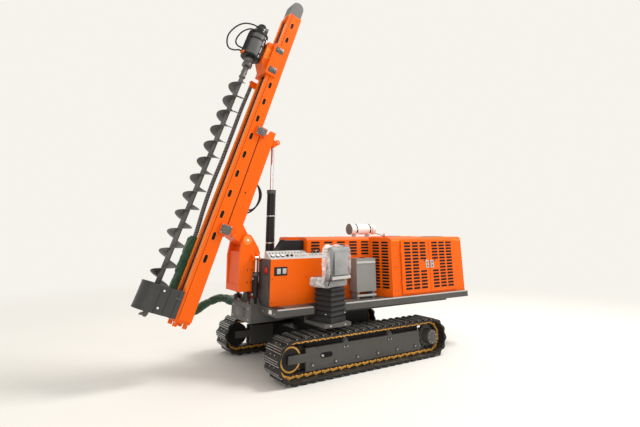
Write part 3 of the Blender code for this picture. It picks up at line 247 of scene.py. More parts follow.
ZINC = coated("zinc_steel", (0.55, 0.54, 0.52, 1), 0.30, metal=0.9, vary=0.15, grain=(220, 0.2, 0.0006),
              wear_and_highlight=(0.85, 0.85, 0.83, 1))
RED = coated("red_lamp", (0.62, 0.010, 0.012, 1), 0.18, coat=0.8, vary=0.08, grain=(120, 0.06, 0.0005))
HOSE = coated("hose_rubber", (0.012, 0.012, 0.013, 1), 0.42, vary=0.2, grain=(420, 0.25, 0.0006))


def ribbed(name, colour, colour_two, rough, scale, direction, share, metal=0.0, depth=0.002):
    """A wrapped, ribbed or sewn surface: bands across one direction, over the usual clouding."""
    n = Nodes(name)
    wave = n.tree.nodes.new("ShaderNodeTexWave")
    wave.bands_direction = direction
    n.tree.links.new(n.coords, wave.inputs["Vector"])
    wave.inputs["Scale"].default_value = scale
    wave.inputs["Distortion"].default_value = 1.2
    wave.inputs["Detail"].default_value = 2.0
    bands = wave.outputs["Fac"]
    base = n.mix(n.ramp(bands, share, share + 0.15), colour, colour_two)
    base = n.mix(n.times(n.ramp(n.noise(30, 5), 0.4, 0.7), 0.3), base, shade(colour, 0.6))
    n.link(base, "Base Color")
    n.link(n.ramp(n.noise(14, 4), 0.3, 0.7, rough - 0.06, rough + 0.08), "Roughness")
    n.link(n.bump(bands, 0.6, depth), "Normal")
    n.put(Metallic=metal)
    return n.material


def woven(name, colour, rough, scale, sheen=0.3, depth=0.0006, crease=0.0):
    """Cloth: two crossed thread waves, sheen, and soft creases."""
    n = Nodes(name)
    threads = []
    for direction in ("X", "Z"):
        wave = n.tree.nodes.new("ShaderNodeTexWave")
        wave.bands_direction = direction
        n.tree.links.new(n.coords, wave.inputs["Vector"])
        wave.inputs["Scale"].default_value = scale
        wave.inputs["Distortion"].default_value = 0.6
        threads.append(wave.outputs["Fac"])
    weave = n.times(threads[0], threads[1])
    base = n.mix(n.ramp(n.noise(4, 5), 0.3, 0.7), shade(colour, 0.80), shade(colour, 1.22))
    base = n.mix(n.times(weave, 0.35), base, shade(colour, 1.5))
    n.link(base, "Base Color")
    n.link(n.ramp(n.noise(25, 4), 0.3, 0.7, rough - 0.05, min(1.0, rough + 0.08)), "Roughness")
    height = weave
    if crease:
        height = n.times(weave, n.times(n.noise(7, 4, (1, 1, 2.2)), crease), "ADD")
    n.link(n.bump(height, 0.55, depth), "Normal")
    n.put(Sheen_Weight=sheen, Sheen_Roughness=0.4)
    return n.material


SEAT_CLOTH = woven("seat_cloth", (0.26, 0.26, 0.26, 1), 0.82, 240, crease=2.0, depth=0.0012)
SLEEVE_CLOTH = woven("sleeve_cloth", (0.020, 0.085, 0.042, 1), 0.62, 150, sheen=0.5, crease=3.0, depth=0.003)
SPIRAL = ribbed("spiral_wrap", (0.020, 0.020, 0.021, 1), (0.33, 0.33, 0.34, 1), 0.36, 13, "Z", 0.72, depth=0.003)


def film(name):
    """Thin creased packing film: milky where it folds, glossy all over."""
    n = Nodes(name)
    folds = n.noise(9, 6, (1, 1, 1.6))
    ridges = n.noise(26, 5)
    n.link(n.mix(n.ramp(folds, 0.35, 0.65), (0.66, 0.66, 0.66, 1), (0.97, 0.97, 0.97, 1)), "Base Color")
    n.link(n.ramp(n.times(folds, n.times(ridges, 0.6), "ADD"), 0.55, 1.05, 0.30, 0.92), "Alpha")
    n.link(n.ramp(ridges, 0.3, 0.7, 0.12, 0.30), "Roughness")
    n.link(n.bump(n.times(folds, ridges, "ADD"), 0.9, 0.010), "Normal")
    n.put(Transmission_Weight=0.12)
    return n.material


FILM = film("packing_film")


def plain_glass():
    n = Nodes("gauge_glass")
    n.link(n.ramp(n.noise(20, 3), 0.3, 0.7, 0.03, 0.08), "Roughness")
    n.put(Base_Color=(0.95, 0.97, 0.97, 1), Alpha=0.18, Coat_Weight=1.0, Coat_Roughness=0.03)
    return n.material


GLASS = plain_glass()

# ---------------------------------------------------------------- shapes


class Shape:
    """One piece in the making: solids are added in the frame `place`, each with its material."""

    def __init__(self, place=BASE):
        self.bm = bmesh.new()
        self.place = place
        self.materials = []
        self.turn = Matrix.Identity(4)

    def _index(self, material):
        if material not in self.materials:
            self.materials.append(material)
        return self.materials.index(material)

    def _take(self, part, material, smooth, bevel=0.0):
        """Moves a small bmesh into this one."""
        if bevel:
            edges = [e for e in part.edges if len(e.link_faces) == 2 and e.calc_face_angle(0) > 0.5]
            bmesh.ops.bevel(part, geom=edges, offset=bevel, segments=2, profile=0.5, affect="EDGES")
        bmesh.ops.recalc_face_normals(part, faces=part.faces)
        index = self._index(material)
        for face in part.faces:
            face.smooth = smooth
            face.material_index = index
        bmesh.ops.transform(part, matrix=self.turn, verts=part.verts)
        mesh = bpy.data.meshes.new("part")
        part.to_mesh(mesh)
        part.free()
        self.bm.from_mesh(mesh)
        bpy.data.meshes.remove(mesh)

    def box(self, low, high, material, bevel=0.0):
        part = bmesh.new()
        bmesh.ops.create_cube(part, size=1)
        bmesh.ops.scale(part, vec=[b - a for a, b in zip(low, high)], verts=part.verts)
        bmesh.ops.translate(part, vec=[(a + b) / 2 for a, b in zip(low, high)], verts=part.verts)
        self._take(part, material, False, bevel)

    def block(self, middle, size, material, bevel=0.0):
        low = [m - s / 2 for m, s in zip(middle, size)]
        high = [m + s / 2 for m, s in zip(middle, size)]
        self.box(low, high, material, bevel)

    def rod(self, start, end, radius, material, sides=16, end_radius=None, bevel=0.0):
        start, end = Vector(start), Vector(end)
        part = bmesh.new()
        bmesh.ops.create_cone(
            part, cap_ends=True, segments=sides, radius1=radius,
            radius2=radius if end_radius is None else end_radius, depth=(end - start).length,
        )
        turn = Vector((0, 0, 1)).rotation_difference(end - start).to_matrix().to_4x4()
        bmesh.ops.transform(part, matrix=Matrix.Translation((start + end) / 2) @ turn, verts=part.verts)
        self._take(part, material, sides > 8, bevel)

    def lathe(self, start, direction, profile, material, sides=28):
        """Turns (distance along, radius) pairs about an axis; ends are closed."""
        start, direction = Vector(start), Vector(direction).normalized()
        turn = Vector((0, 0, 1)).rotation_difference(direction).to_matrix()
        part = bmesh.new()
        rings = []
        for along, radius in profile:
            ring = []
            for i in range(sides):
                angle = tau * i / sides
                spoke = Vector((radius * cos(angle), radius * sin(angle), along))
                ring.append(part.verts.new(start + turn @ spoke))
            rings.append(ring)
        for a, b in zip(rings, rings[1:]):
            for i in range(sides):
                part.faces.new((a[i - 1], a[i], b[i], b[i - 1]))
        part.faces.new(rings[0][::-1])
        part.faces.new(rings[-1])
        self._take(part, material, True)

    def prism(self, outline, along, low, high, material, bevel=0.0):
        """A flat plate: outline in the other two axes (in x, y, z order), thickness along one."""
        place = {"x": lambda a, b, c: (c, a, b), "y": lambda a, b, c: (a, c, b), "z": lambda a, b, c: (a, b, c)}[along]
        part = bmesh.new()
        near = [part.verts.new(place(a, b, low)) for a, b in outline]
        far = [part.verts.new(place(a, b, high)) for a, b in outline]
        part.faces.new(near)
        part.faces.new(far[::-1])
        for i in range(len(near)):
            part.faces.new((near[i - 1], near[i], far[i], far[i - 1]))
        self._take(part, material, False, bevel)

    def tube(self, points, radius, material, sides=10):
        """A round tube along points, capped; radius may be a number or one for each point."""
        points = [Vector(p) for p in points]
        radii = radius if isinstance(radius, list) else [radius] * len(points)
        part = bmesh.new()
        side = None
        rings = []
        for i, point in enumerate(points):
            ahead = (points[min(i + 1, len(points) - 1)] - points[max(i - 1, 0)]).normalized()
            if side is None:
                side = ahead.orthogonal().normalized()
            side = (side - ahead * side.dot(ahead)).normalized()
            other = ahead.cross(side)
            ring = []
            for k in range(sides):
                angle = tau * k / sides
                ring.append(part.verts.new(point + (side * cos(angle) + other * sin(angle)) * radii[i]))
            rings.append(ring)
        for a, b in zip(rings, rings[1:]):
            for i in range(sides):
                part.faces.new((a[i - 1], a[i], b[i], b[i - 1]))
        part.faces.new(rings[0][::-1])
        part.faces.new(rings[-1])
        self._take(part, material, True)

    def bolt(self, place, direction, size, material=None):
        """A hexagon head on its washer."""
        place, direction = Vector(place), Vector(direction).normalized()
        finish = material or ZINC
        self.rod(place, place + direction * size * 0.22, size * 1.15, finish, 14)
        self.rod(place + direction * size * 0.2, place + direction * size * 0.95, size * 0.85, finish, 6)

    def done(self, name, body, replaces=(), angle=38):
        mesh = bpy.data.meshes.new(name)
        bmesh.ops.transform(self.bm, matrix=self.place, verts=self.bm.verts)
        self.bm.to_mesh(mesh)
        self.bm.free()
        for material in self.materials:
            mesh.materials.append(material)
        mesh.set_sharp_from_angle(angle=radians(angle))
        made = bpy.data.objects.new(name, mesh)
        bpy.context.scene.collection.objects.link(made)
        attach(made, body)
        if replaces:
            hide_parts(*replaces)
        return made


def sides():
    return (("left", 1), ("right", -1))


def arc(middle, radius, start, end, steps):
    angles = [radians(start + (end - start) * i / steps) for i in range(steps + 1)]
    return [(middle[0] + radius * cos(a), middle[1] + radius * sin(a)) for a in angles]


def capsule(a, b, length, width, steps=3):
    """A slot outline, long along its first axis."""
    reach = (length - width) / 2
    return arc((a + reach, b), width / 2, -90, 90, steps) + arc((a - reach, b), width / 2, 90, 270, steps)


def dress(material, *nodes):
    for node in nodes:
        shown = frame["nodes"][node]
        shown.data.materials.clear()
        shown.data.materials.append(material)


# ---------------------------------------------------------------- finishes on the CAD nodes

BOTH = ("left", "right")
dress(SHOE, *[f"{s}_track" for s in BOTH])
dress(BLACK, *[f"{s}_idler" for s in BOTH])
dress(CHARCOAL, *[f"{s}_sprocket" for s in BOTH], *[f"{s}_side_frame" for s in BOTH])
dress(CHARCOAL, "deck", "seat_bracket", "roll_bracket", "console_body")
dress(BLACK, "car_body", "control_hood", *[f"{s}_roll_barrel" for s in BOTH], "lift_barrel", "head_motor")
dress(ORANGE, "housing_roof", "rear_wall", "middle_front_hood", "console_side_panel", "mast_carrier", "mast")
dress(ORANGE, *[f"{s}_side_wall" for s in BOTH], *[f"{s}_front_hood" for s in BOTH])
dress(ORANGE, *[f"{s}_{end}_door" for s in BOTH for end in ("front", "rear")])
dress(ORANGE, "mast_fork", "head_carriage", "lower_slide_clamp", "upper_slide_clamp")
dress(CHROME, *[f"{s}_roll_rod" for s in BOTH], "lift_rod")
dress(WHITE, "air_cleaner")
dress(PALE, "gauge_panel")
dress(TANK_GREY, "oil_tank", "fuel_tank")
dress(CAST, "engine_block", "rotary_head")
dress(RUBBER, "seat_bellows")
dress(CAP_GREY, "mast_cap")
dress(GUIDE_GREY, "auger_guide")
dress(AUGER_STEEL, "auger")
dress(OCHRE, "feed_chain")

# ---------------------------------------------------------------- tracks

TRACK_RADIUS = (LEFT_TRACK[1].z - LEFT_TRACK[0].z) / 2
AXLE = near_box("left_track")[1].x - TRACK_RADIUS
SHOES = 48
GROUSER = 0.026
LOOP = 4 * AXLE + tau * (TRACK_RADIUS - GROUSER)


def on_loop(along, depth):
    """Point and outward direction at a distance round the loop, at a depth under the shoes' face."""
    radius = TRACK_RADIUS - GROUSER
    along %= LOOP
    straight, half = 2 * AXLE, pi * radius
    if along < straight:
        x, angle = AXLE - along, pi / 2
        place = (x, radius - depth)
    elif along < straight + half:
        angle = pi / 2 + (along - straight) / radius
        place = (-AXLE + (radius - depth) * cos(angle), (radius - depth) * sin(angle))
    elif along < 2 * straight + half:
        angle = 3 * pi / 2
        place = (-AXLE + along - straight - half, -(radius - depth))
    else:
        angle = 3 * pi / 2 + (along - 2 * straight - half) / radius
        place = (AXLE + (radius - depth) * cos(angle), (radius - depth) * sin(angle))
    return Vector((place[0], 0, place[1] + TRACK_RADIUS)), Vector((cos(angle), 0, sin(angle)))


for side, sign in sides():
    low, high = near_box(f"{side}_track")
    middle, wide = (low.y + high.y) / 2, (high.y - low.y) / 2
    shoes = Shape()
    links = Shape()
    for number in range(SHOES):
        start = LOOP * number / SHOES
        for share, size in ((0.25, 0.0), (0.75, 0.0)):
            place, out = on_loop(start + share * LOOP / SHOES, 0)
            ahead = Vector((-out.z, 0, out.x))
            turn = Matrix((ahead, (0, 1, 0), out)).transposed().to_4x4()
            shoes.turn = Matrix.Translation(place + Vector((0, middle, 0))) @ turn
            if share == 0.25:
                for x, tall in ((0.0015, 1.0), (0.0290, 1.0), (-0.0260, 0.72)):
                    shoes.box((x - 0.0035, -wide + 0.002, 0.0), (x + 0.0035, wide - 0.002, GROUSER * tall + 0.0010), TIP,
                              0.0015)
                shoes.box((-0.0330, -wide + 0.003, 0.0), (-0.0190, wide - 0.003, GROUSER * 0.70), SHOE, 0.003)
                # near-black plate between shoes: painted shade in the gap
                shoes.box((-0.0335, -wide + 0.001, -0.010), (-0.0300, wide - 0.001, 0.0012), SHADE_AND_BLACK)
            else:
                for y in (-0.055, 0.055):
                    shoes.rod((0.004, y, 0), (0.004, y, 0.008), 0.0090, ZINC, 6)
        place, out = on_loop(start + 0.5 * LOOP / SHOES, 0.046)
        ahead = Vector((-out.z, 0, out.x))
        turn = Matrix((ahead, (0, 1, 0), out)).transposed().to_4x4()
        links.turn = Matrix.Translation(place + Vector((0, middle, 0))) @ turn
        for face in (-1, 1):
            near, far = sorted((face * 0.0705, face * 0.0835))
            outline = arc((-0.042, -0.004), 0.019, 100, 250, 5) + [(0.0, -0.008)]
            outline += arc((0.042, -0.004), 0.019, -70, 80, 5) + [(0.016, 0.024), (-0.022, 0.010)]
            links.prism(outline, "y", near, far, OCHRE, 0.002)
            for x in (-0.040, 0.040):
                links.rod((x, face * 0.080, 0), (x, face * 0.090, 0), 0.012, OCHRE, 10)
                links.rod((x, face * 0.088, 0), (x, face * 0.0915, 0), 0.006, SHADE_AND_BLACK, 8)
    shoes.done(f"{side}_track_shoes", "chassis")
    links.done(f"{side}_chain_links", "chassis")

    low, high = near_box(f"{side}_side_frame")
    face = high.y if sign > 0 else low.y
    frame_side = Shape()

    def outside(depth):
        return face + sign * depth

    for x in (-0.42, 0.38):  # top roller brackets
        tall = [(x - 0.050, 0.30), (x + 0.050, 0.30), (x + 0.032, 0.400), (x - 0.032, 0.400)]
        near, far = sorted((outside(-0.020), outside(0.006)))
        frame_side.prism(tall, "y", near, far, CHARCOAL, 0.003)
        # near-black patch: painted shade in the roller slot
        slot_near, slot_far = sorted((outside(0.004), outside(0.0075)))
        frame_side.prism([(x - 0.008, 0.32), (x + 0.008, 0.32), (x + 0.008, 0.375), (x - 0.008, 0.375)],
                         "y", slot_near, slot_far, SHADE_AND_BLACK)
        frame_side.bolt((x - 0.026, outside(0.005), 0.318), (0, sign, 0), 0.007)
        frame_side.bolt((x + 0.026, outside(0.005), 0.318), (0, sign, 0), 0.007)
    near, far = sorted((outside(0), outside(0.010)))
    frame_side.box((-0.98, near, 0.345), (0.86, far, 0.372), CHARCOAL, 0.003)
    frame_side.box((-0.98, near, 0.118), (0.86, far, 0.140), CHARCOAL, 0.003)
    # near-black slot: painted shade
    near, far = sorted((outside(-0.002), outside(0.003)))
    frame_side.prism(capsule(0.70, 0.262, 0.20, 0.062), "y", near, far, SHADE_AND_BLACK)
    frame_side.rod((0.77, outside(0), 0.262), (0.77, outside(0.022), 0.262), 0.014, WHITE, 12)
    frame_side.rod((0.77, outside(0.02), 0.262), (0.77, outside(0.034), 0.262), 0.007, ZINC, 8)
    # near-black block: painted shade in the recess behind the rails
    web_near, web_far = sorted((outside(-0.140), outside(-0.030)))
    frame_side.box((-1.02, web_near, 0.360), (0.98, web_far, 0.422), SHADE_AND_BLACK)
    for step in range(14):
        frame_side.bolt((-0.93 + 0.136 * step, outside(0.009), 0.129), (0, sign, 0), 0.008, CHARCOAL)
    for step in range(6):
        frame_side.rod((-0.92 + 0.368 * step, outside(0), 0.168), (-0.92 + 0.368 * step, outside(0.012), 0.168),
                       0.026, CHARCOAL, 16)
        frame_side.bolt((-0.92 + 0.368 * step, outside(0.011), 0.168), (0, sign, 0), 0.009)
    frame_side.done(f"{side}_roller_brackets", "chassis")

    drive = Shape()
    low, high = near_box(f"{side}_sprocket")
    cover = high.y if sign > 0 else low.y
    hub = Vector((-AXLE, cover, TRACK_RADIUS))
    drive.lathe(hub - Vector((0, sign * 0.002, 0)), (0, sign, 0), [(0, 0.100), (0.004, 0.098), (0.008, 0.088),
                (0.008, 0.045), (0.009, 0.042)], CHARCOAL)
    for step in range(9):
        angle = tau * step / 9
        drive.bolt(hub + Vector((0.078 * cos(angle), sign * 0.004, 0.078 * sin(angle))), (0, sign, 0), 0.007)
    low, high = near_box(f"{side}_idler")
    rim = high.y if sign > 0 else low.y
    wheel = Vector((AXLE, rim, TRACK_RADIUS))
    drive.lathe(wheel - Vector((0, sign * 0.004, 0)), (0, sign, 0), [(0, 0.156), (0.006, 0.152), (0.009, 0.142),
                (0.006, 0.138)], OCHRE)
    drive.lathe(wheel - Vector((0, sign * 0.002, 0)), (0, sign, 0), [(0, 0.134), (0.006, 0.130)], BLACK)
    drive.lathe(wheel, (0, sign, 0), [(0, 0.050), (0.020, 0.048), (0.026, 0.036)], CHARCOAL)
    drive.done(f"{side}_wheel_covers", "chassis")

# ---------------------------------------------------------------- engine housing

for side, sign in sides():
    for end in ("front", "rear"):
        low, high = near_box(f"{side}_{end}_door")
        face = high.y if sign > 0 else low.y
        door = Shape()
        hinge_x, latch_x = (high.x, low.x) if end == "front" else (low.x, high.x)
        inward = 1 if latch_x < hinge_x else -1
        wide = (high.x - low.x) - 0.04
        columns = [low.x + 0.02 + wide * share for share in (0.20, 0.50, 0.80)]
        near, far = sorted((face - sign * 0.002, face + sign * 0.0012))
        lip_near, lip_far = sorted((face, face + sign * 0.005))
        latch_z = (low.z + high.z) / 2 + 0.02
        for x in columns:
            nearest = abs(x - latch_x) < 0.16
            for row in range(15):
                z = high.z - 0.045 - row * (high.z - low.z - 0.11) / 14
                if nearest and abs(z - latch_z) < 0.085:
                    continue
                # near-black slot: painted shade; lighter orange lip above it: painted highlight
                door.prism(capsule(x, z, 0.146, 0.031), "y", near, far, SHADE_AND_BLACK)
                door.prism([(x - 0.060, z - 0.0185), (x + 0.060, z - 0.0185), (x + 0.057, z - 0.0150),
                            (x - 0.057, z - 0.0150)], "y", lip_near, lip_far, HIGHLIGHT_ORANGE)
        plate_x = latch_x + inward * 0.052
        door.block((plate_x, face + sign * 0.003, latch_z), (0.074, 0.008, 0.120), ZINC, 0.003)
        for z in (-0.028, 0.028):
            door.rod((plate_x, face, latch_z + z), (plate_x, face + sign * 0.008, latch_z + z), 0.017, BLACK, 16)
            door.rod((plate_x, face, latch_z + z), (plate_x, face + sign * 0.0095, latch_z + z), 0.007, ZINC, 10)
        key_x = latch_x + inward * 0.118
        door.rod((key_x, face, latch_z + 0.055), (key_x, face + sign * 0.006, latch_z + 0.055), 0.012, BLACK, 12)
        door.done(f"{side}_{end}_louvres", f"{side}_{end}_door")

    low, high = near_box(f"{side}_side_wall")
    trim = Shape()
    face = 0.8 * sign
    near, far = sorted((face - sign * 0.001, face + sign * 0.0035))
    # lighter orange strip along the top edge: painted highlight
    trim.box((low.x + 0.004, near, high.z - 0.026), (-0.66, far, high.z - 0.004), HIGHLIGHT_ORANGE, 0.002)
    for step in range(2):
        x = -0.700 - step * 0.060
        for z in (0.93, 1.28, 1.62):
            trim.bolt((x, face, z), (0, sign, 0), 0.006, BLACK)
    # louvres in the slanted corner panel
    start, stop = Vector((-0.645, sign * 0.795, 0)), Vector((-0.500, sign * 0.45, 0))
    run = (stop - start).normalized()
    out = Vector((-run.y * sign, run.x * sign, 0))
    if out.x < 0:
        out = -out
    turn = Matrix((run, out, (0, 0, 1))).transposed().to_4x4()
    trim.turn = Matrix.Translation(start) @ turn
    for across in (0.085, 0.245):
        for row in range(16):
            z = 1.655 - row * 0.045
            # near-black slots: painted shade; lighter orange lips: painted highlight
            trim.prism(capsule(across + 0.022, z, 0.125, 0.029), "y", -0.003, 0.0022, SHADE_AND_BLACK)
            trim.box((across - 0.03, 0.0, z - 0.0175), (across + 0.074, 0.005, z - 0.0145), HIGHLIGHT_ORANGE)
    trim.turn = Matrix.Identity(4)
    trim.done(f"{side}_wall_louvres", "chassis")

    hood = Shape()
    low, high = near_box(f"{side}_front_hood")
    face = high.y if sign > 0 else low.y
    near, far = sorted((face - sign * 0.002, face + sign * 0.0015))
    lip_near, lip_far = sorted((face, face + sign * 0.005))
    for column in range(5):
        x = low.x + 0.11 + column * 0.24
        for row in range(5):
            z = high.z - 0.075 - row * 0.045
            # near-black slots: painted shade; lighter orange lips: painted highlight
            hood.prism(capsule(x, z, 0.160, 0.029), "y", near, far, SHADE_AND_BLACK)
            hood.box((x - 0.066, lip_near, z - 0.0175), (x + 0.066, lip_far, z - 0.0145), HIGHLIGHT_ORANGE)
    for step in range(6):
        hood.bolt((low.x + 0.05 + step * 0.22, (low.y + high.y) / 2, high.z - 0.001), (0, 0, 1), 0.006, BLACK)
    hood.done(f"{side}_hood_louvres", "chassis")

roof = Shape()
low, high = near_box("housing_roof")
for y in (-0.55, 0.55):
    roof.box((low.x + 0.30, y - 0.11, high.z - 0.001), (low.x + 0.62, y + 0.11, high.z + 0.006), CHARCOAL, 0.003)
    for row in range(8):
        x = low.x + 0.325 + row * 0.038
        # near-black bars: painted shade in the grille openings
        roof.box((x, y - 0.095, high.z + 0.003), (x + 0.018, y + 0.095, high.z + 0.0072), SHADE_AND_BLACK)
roof.block((low.x + 1.05, 0, high.z + 0.002), (0.50, 0.74, 0.008), ORANGE, 0.003)
for x in (0.83, 1.27):
    for y in (-0.34, 0.34):
        roof.bolt((low.x + x, y, high.z + 0.005), (0, 0, 1), 0.008, BLACK)
roof.lathe((low.x + 1.50, -0.40, high.z - 0.001), (0, 0, 1), [(0, 0.045), (0.006, 0.045), (0.009, 0.040)], SHADE_AND_BLACK)
roof.done("roof_grilles", "chassis")

rear = Shape()
low, high = near_box("rear_wall")
for column in range(6):
    for row in range(12):
        y = -0.525 + column * 0.21
        z = 1.60 - row * 0.050
        # near-black slots: painted shade; lighter orange lips: painted highlight
        rear.prism(capsule(y, z, 0.170, 0.024), "x", low.x - 0.0015, low.x + 0.002, SHADE_AND_BLACK)
        rear.box((low.x - 0.005, y - 0.075, z - 0.0155), (low.x, y + 0.075, z - 0.0105), HIGHLIGHT_ORANGE)
for y in (-0.70, 0.70):
    for z in (0.93, 1.28, 1.64):
        rear.bolt((low.x, y, z), (-1, 0, 0), 0.010, BLACK)
rear.done("rear_louvres", "chassis")

cleaner = Shape()
low, high = near_box("air_cleaner")
middle_y, middle_z = (low.y + high.y) / 2, high.z - 0.085
for x in (-0.60, -0.32):
    cleaner.lathe((x - 0.013, middle_y, middle_z), (1, 0, 0), [(0, 0.0868), (0.026, 0.0868)], BLACK, 36)
    cleaner.block((x, middle_y + 0.084, middle_z), (0.030, 0.016, 0.028), ZINC, 0.002)
cleaner.lathe((high.x - 0.012, middle_y, middle_z), (1, 0, 0), [(0, 0.0878), (0.010, 0.0885), (0.014, 0.080),
              (0.015, 0.050), (0.018, 0.020)], CAP_GREY, 36)
cleaner.lathe((low.x + 0.070, middle_y, middle_z), (1, 0, 0), [(0, 0.0872), (0.008, 0.0872)], CAP_GREY, 36)
cleaner.tube([(low.x + 0.01, middle_y, 1.80), (-0.80, middle_y + 0.01, 1.79), (-0.90, middle_y + 0.02, 1.765),
              (-0.95, middle_y + 0.02, 1.745)], 0.006, CAP_GREY, 8)
cleaner.lathe((-0.95, middle_y + 0.02, 1.7385), (0, 0, 1), [(0, 0.028), (0.014, 0.028), (0.018, 0.012),
              (0.060, 0.010)], RED, 20)
cleaner.done("air_cleaner_straps", "chassis")

# ---------------------------------------------------------------- deck and tanks

for node, sign in (("oil_tank", 1), ("fuel_tank", -1)):
    low, high = near_box(node)
    face = high.y if sign > 0 else low.y
    tank = Shape()
    for z in (low.z + 0.030, high.z - 0.075):
        near, far = sorted((face - sign * 0.001, face + sign * 0.006))
        tank.box((low.x + 0.004, near, z), (high.x - 0.004, far, z + 0.030), PALE, 0.002)
    middle = ((low.x + high.x) / 2, (low.y + high.y) / 2, high.z)
    tank.lathe(middle, (0, 0, 1), [(-0.001, 0.044), (0.006, 0.044), (0.009, 0.036)], BLACK, 24)
    for x in (low.x + 0.035, high.x - 0.035):
        tank.bolt((x, face, low.z + 0.10), (0, sign, 0), 0.007)
    tank.done(f"{node}_trim", "chassis")

trim = Shape()
low, high = near_box("deck")
for side, sign in sides():
    edge = 0.84 * sign
    for start, stop in ((-2.34, 0.31), (0.85, 1.40)) if sign > 0 else ((-2.34, 0.31), (0.85, 1.40)):
        near, far = sorted((edge - sign * 0.012, edge + sign * 0.003))
        trim.box((start, near, high.z - 0.014), (stop, far, high.z + 0.003), PALE, 0.002)
    for step in range(9):
        x = -2.25 + 0.30 * step
        trim.bolt((x, edge, 0.790), (0, sign, 0), 0.008, CHARCOAL)
for y in (-0.75, -0.55, 0.45, 0.62, 0.78):
    trim.bolt((1.4145, y, 0.79), (1, 0, 0), 0.009)
trim.block((1.4165, 0.66, 0.800), (0.004, 0.085, 0.050), WHITE, 0.001)
trim.block((1.330, 0.68, high.z + 0.003), (0.14, 0.22, 0.006), BLACK, 0.002)
for y in (-0.26, 0.26):
    for z in (0.66, 0.80):
        trim.bolt((1.5505, y, z), (1, 0, 0), 0.010)
trim.block((1.552, 0, 0.735), (0.006, 0.30, 0.12), CHARCOAL, 0.002)
trim.done("deck_trim", "chassis")

# ---------------------------------------------------------------- operator's place

console = Shape()
low, high = near_box("gauge_panel")
tilt_angle = atan2(1.556 - 1.452, 0.572 - 0.40)
slope = Matrix.Translation((0, 0.572, 1.4523)) @ Matrix.Rotation(-tilt_angle, 4, "X")
# in this frame x runs forward, -y up the slope, z off the panel
console.turn = slope


def gauge(x, up, radius):
    console.lathe((x, -up, -0.002), (0, 0, 1), [(0, radius), (0.010, radius), (0.013, radius - 0.004)], BLACK, 24)
    console.lathe((x, -up, 0.0), (0, 0, 1), [(0, radius - 0.006), (0.0135, radius - 0.006)], WHITE, 24)
    console.box((x - 0.0012, -up - 0.001, 0.012), (x + 0.0012, -up + radius * 0.6, 0.0145), SHADE_AND_BLACK)
    console.lathe((x, -up, 0.0138), (0, 0, 1), [(0, radius - 0.005), (0.0012, radius - 0.006)], GLASS, 24)


for x in (1.325, 1.245, 1.165):
    gauge(x, 0.075, 0.030)
for x in (1.085, 1.015):
    console.lathe((x, -0.075, -0.001), (0, 0, 1), [(0, 0.022), (0.006, 0.022), (0.008, 0.016), (0.020, 0.014),
                  (0.022, 0.010)], BLACK, 20)
for step in range(7):
    x = 0.955 - step * 0.032
    console.lathe((x, -0.062, -0.001), (0, 0, 1), [(0, 0.010), (0.005, 0.010), (0.006, 0.005), (0.020, 0.004)],
                  ZINC, 12)
for step in range(11):
    x = 1.345 - step * 0.052
    console.lathe((x, -0.145, -0.001), (0, 0, 1), [(0, 0.009), (0.006, 0.008), (0.009, 0.005)],
                  RED if step == 7 else BLACK, 12)
console.turn = Matrix.Identity(4)
low, high = near_box("console_side_panel")
face = high.y
console.box((1.120, face - 0.001, 1.235), (1.328, face + 0.0035, 1.350), BLACK, 0.002)
for x in (1.255, 1.165):
    console.box((x - 0.030, face + 0.002, 1.258), (x + 0.030, face + 0.0050, 1.327), PALE, 0.001)
for x in (0.33, 0.80, 1.35):
    for z in (0.90, 1.20):
        console.bolt((x, face, z), (0, 1, 0), 0.006, BLACK)
low, high = near_box("console_body")
console.turn = Matrix.Translation((high.x, 0.452, 1.305)) @ Matrix.Diagonal((1, 1.25, 1.45, 1))
console.lathe((-0.001, 0, 0), (1, 0, 0), [(0, 0.042), (0.004, 0.042), (0.006, 0.036)], BLACK, 28)
console.lathe((0, 0, 0), (1, 0, 0), [(0, 0.034), (0.007, 0.033), (0.009, 0.020)], RED, 28)
console.turn = Matrix.Identity(4)
for y in (0.24, 0.52):
    for z in (0.90, 1.15, 1.41):
        console.bolt((high.x, y, z), (1, 0, 0), 0.007, BLACK)
console.box((high.x - 0.001, 0.27, 0.98), (high.x + 0.003, 0.50, 1.22), CHARCOAL, 0.002)
low, high = near_box("control_hood")
console.tube([(1.07, 0.25, high.z - 0.004), (1.065, 0.25, high.z + 0.003), (1.03, 0.25, high.z + 0.004),
              (0.995, 0.25, high.z + 0.003), (0.99, 0.25, high.z - 0.004)], 0.004, BLACK, 8)
for x in (0.80, 1.02):
    console.bolt((x, high.y, 1.62), (0, 1, 0), 0.006, BLACK)
for step in range(5):
    x = 0.40 + step * 0.065
    console.rod((x, 0.515, 1.48), (x + 0.004, 0.512, 1.545), 0.0045, ZINC, 10)
    console.lathe((x + 0.004, 0.512, 1.540), (0, 0, 1), [(0, 0.006), (0.006, 0.012), (0.018, 0.012), (0.024, 0.006)],
                  ZINC if step % 2 else BLACK, 14)
console.done("console_fittings", "chassis")

# ---------------------------------------------------------------- mast support

support = Shape()
low, high = near_box("roll_bracket")
for x in (1.245, 1.515):
    for y in (-0.16, 0.16):
        support.bolt((x, y, 0.8625), (0, 0, 1), 0.012)
support.done("roll_bracket_bolts", "chassis")

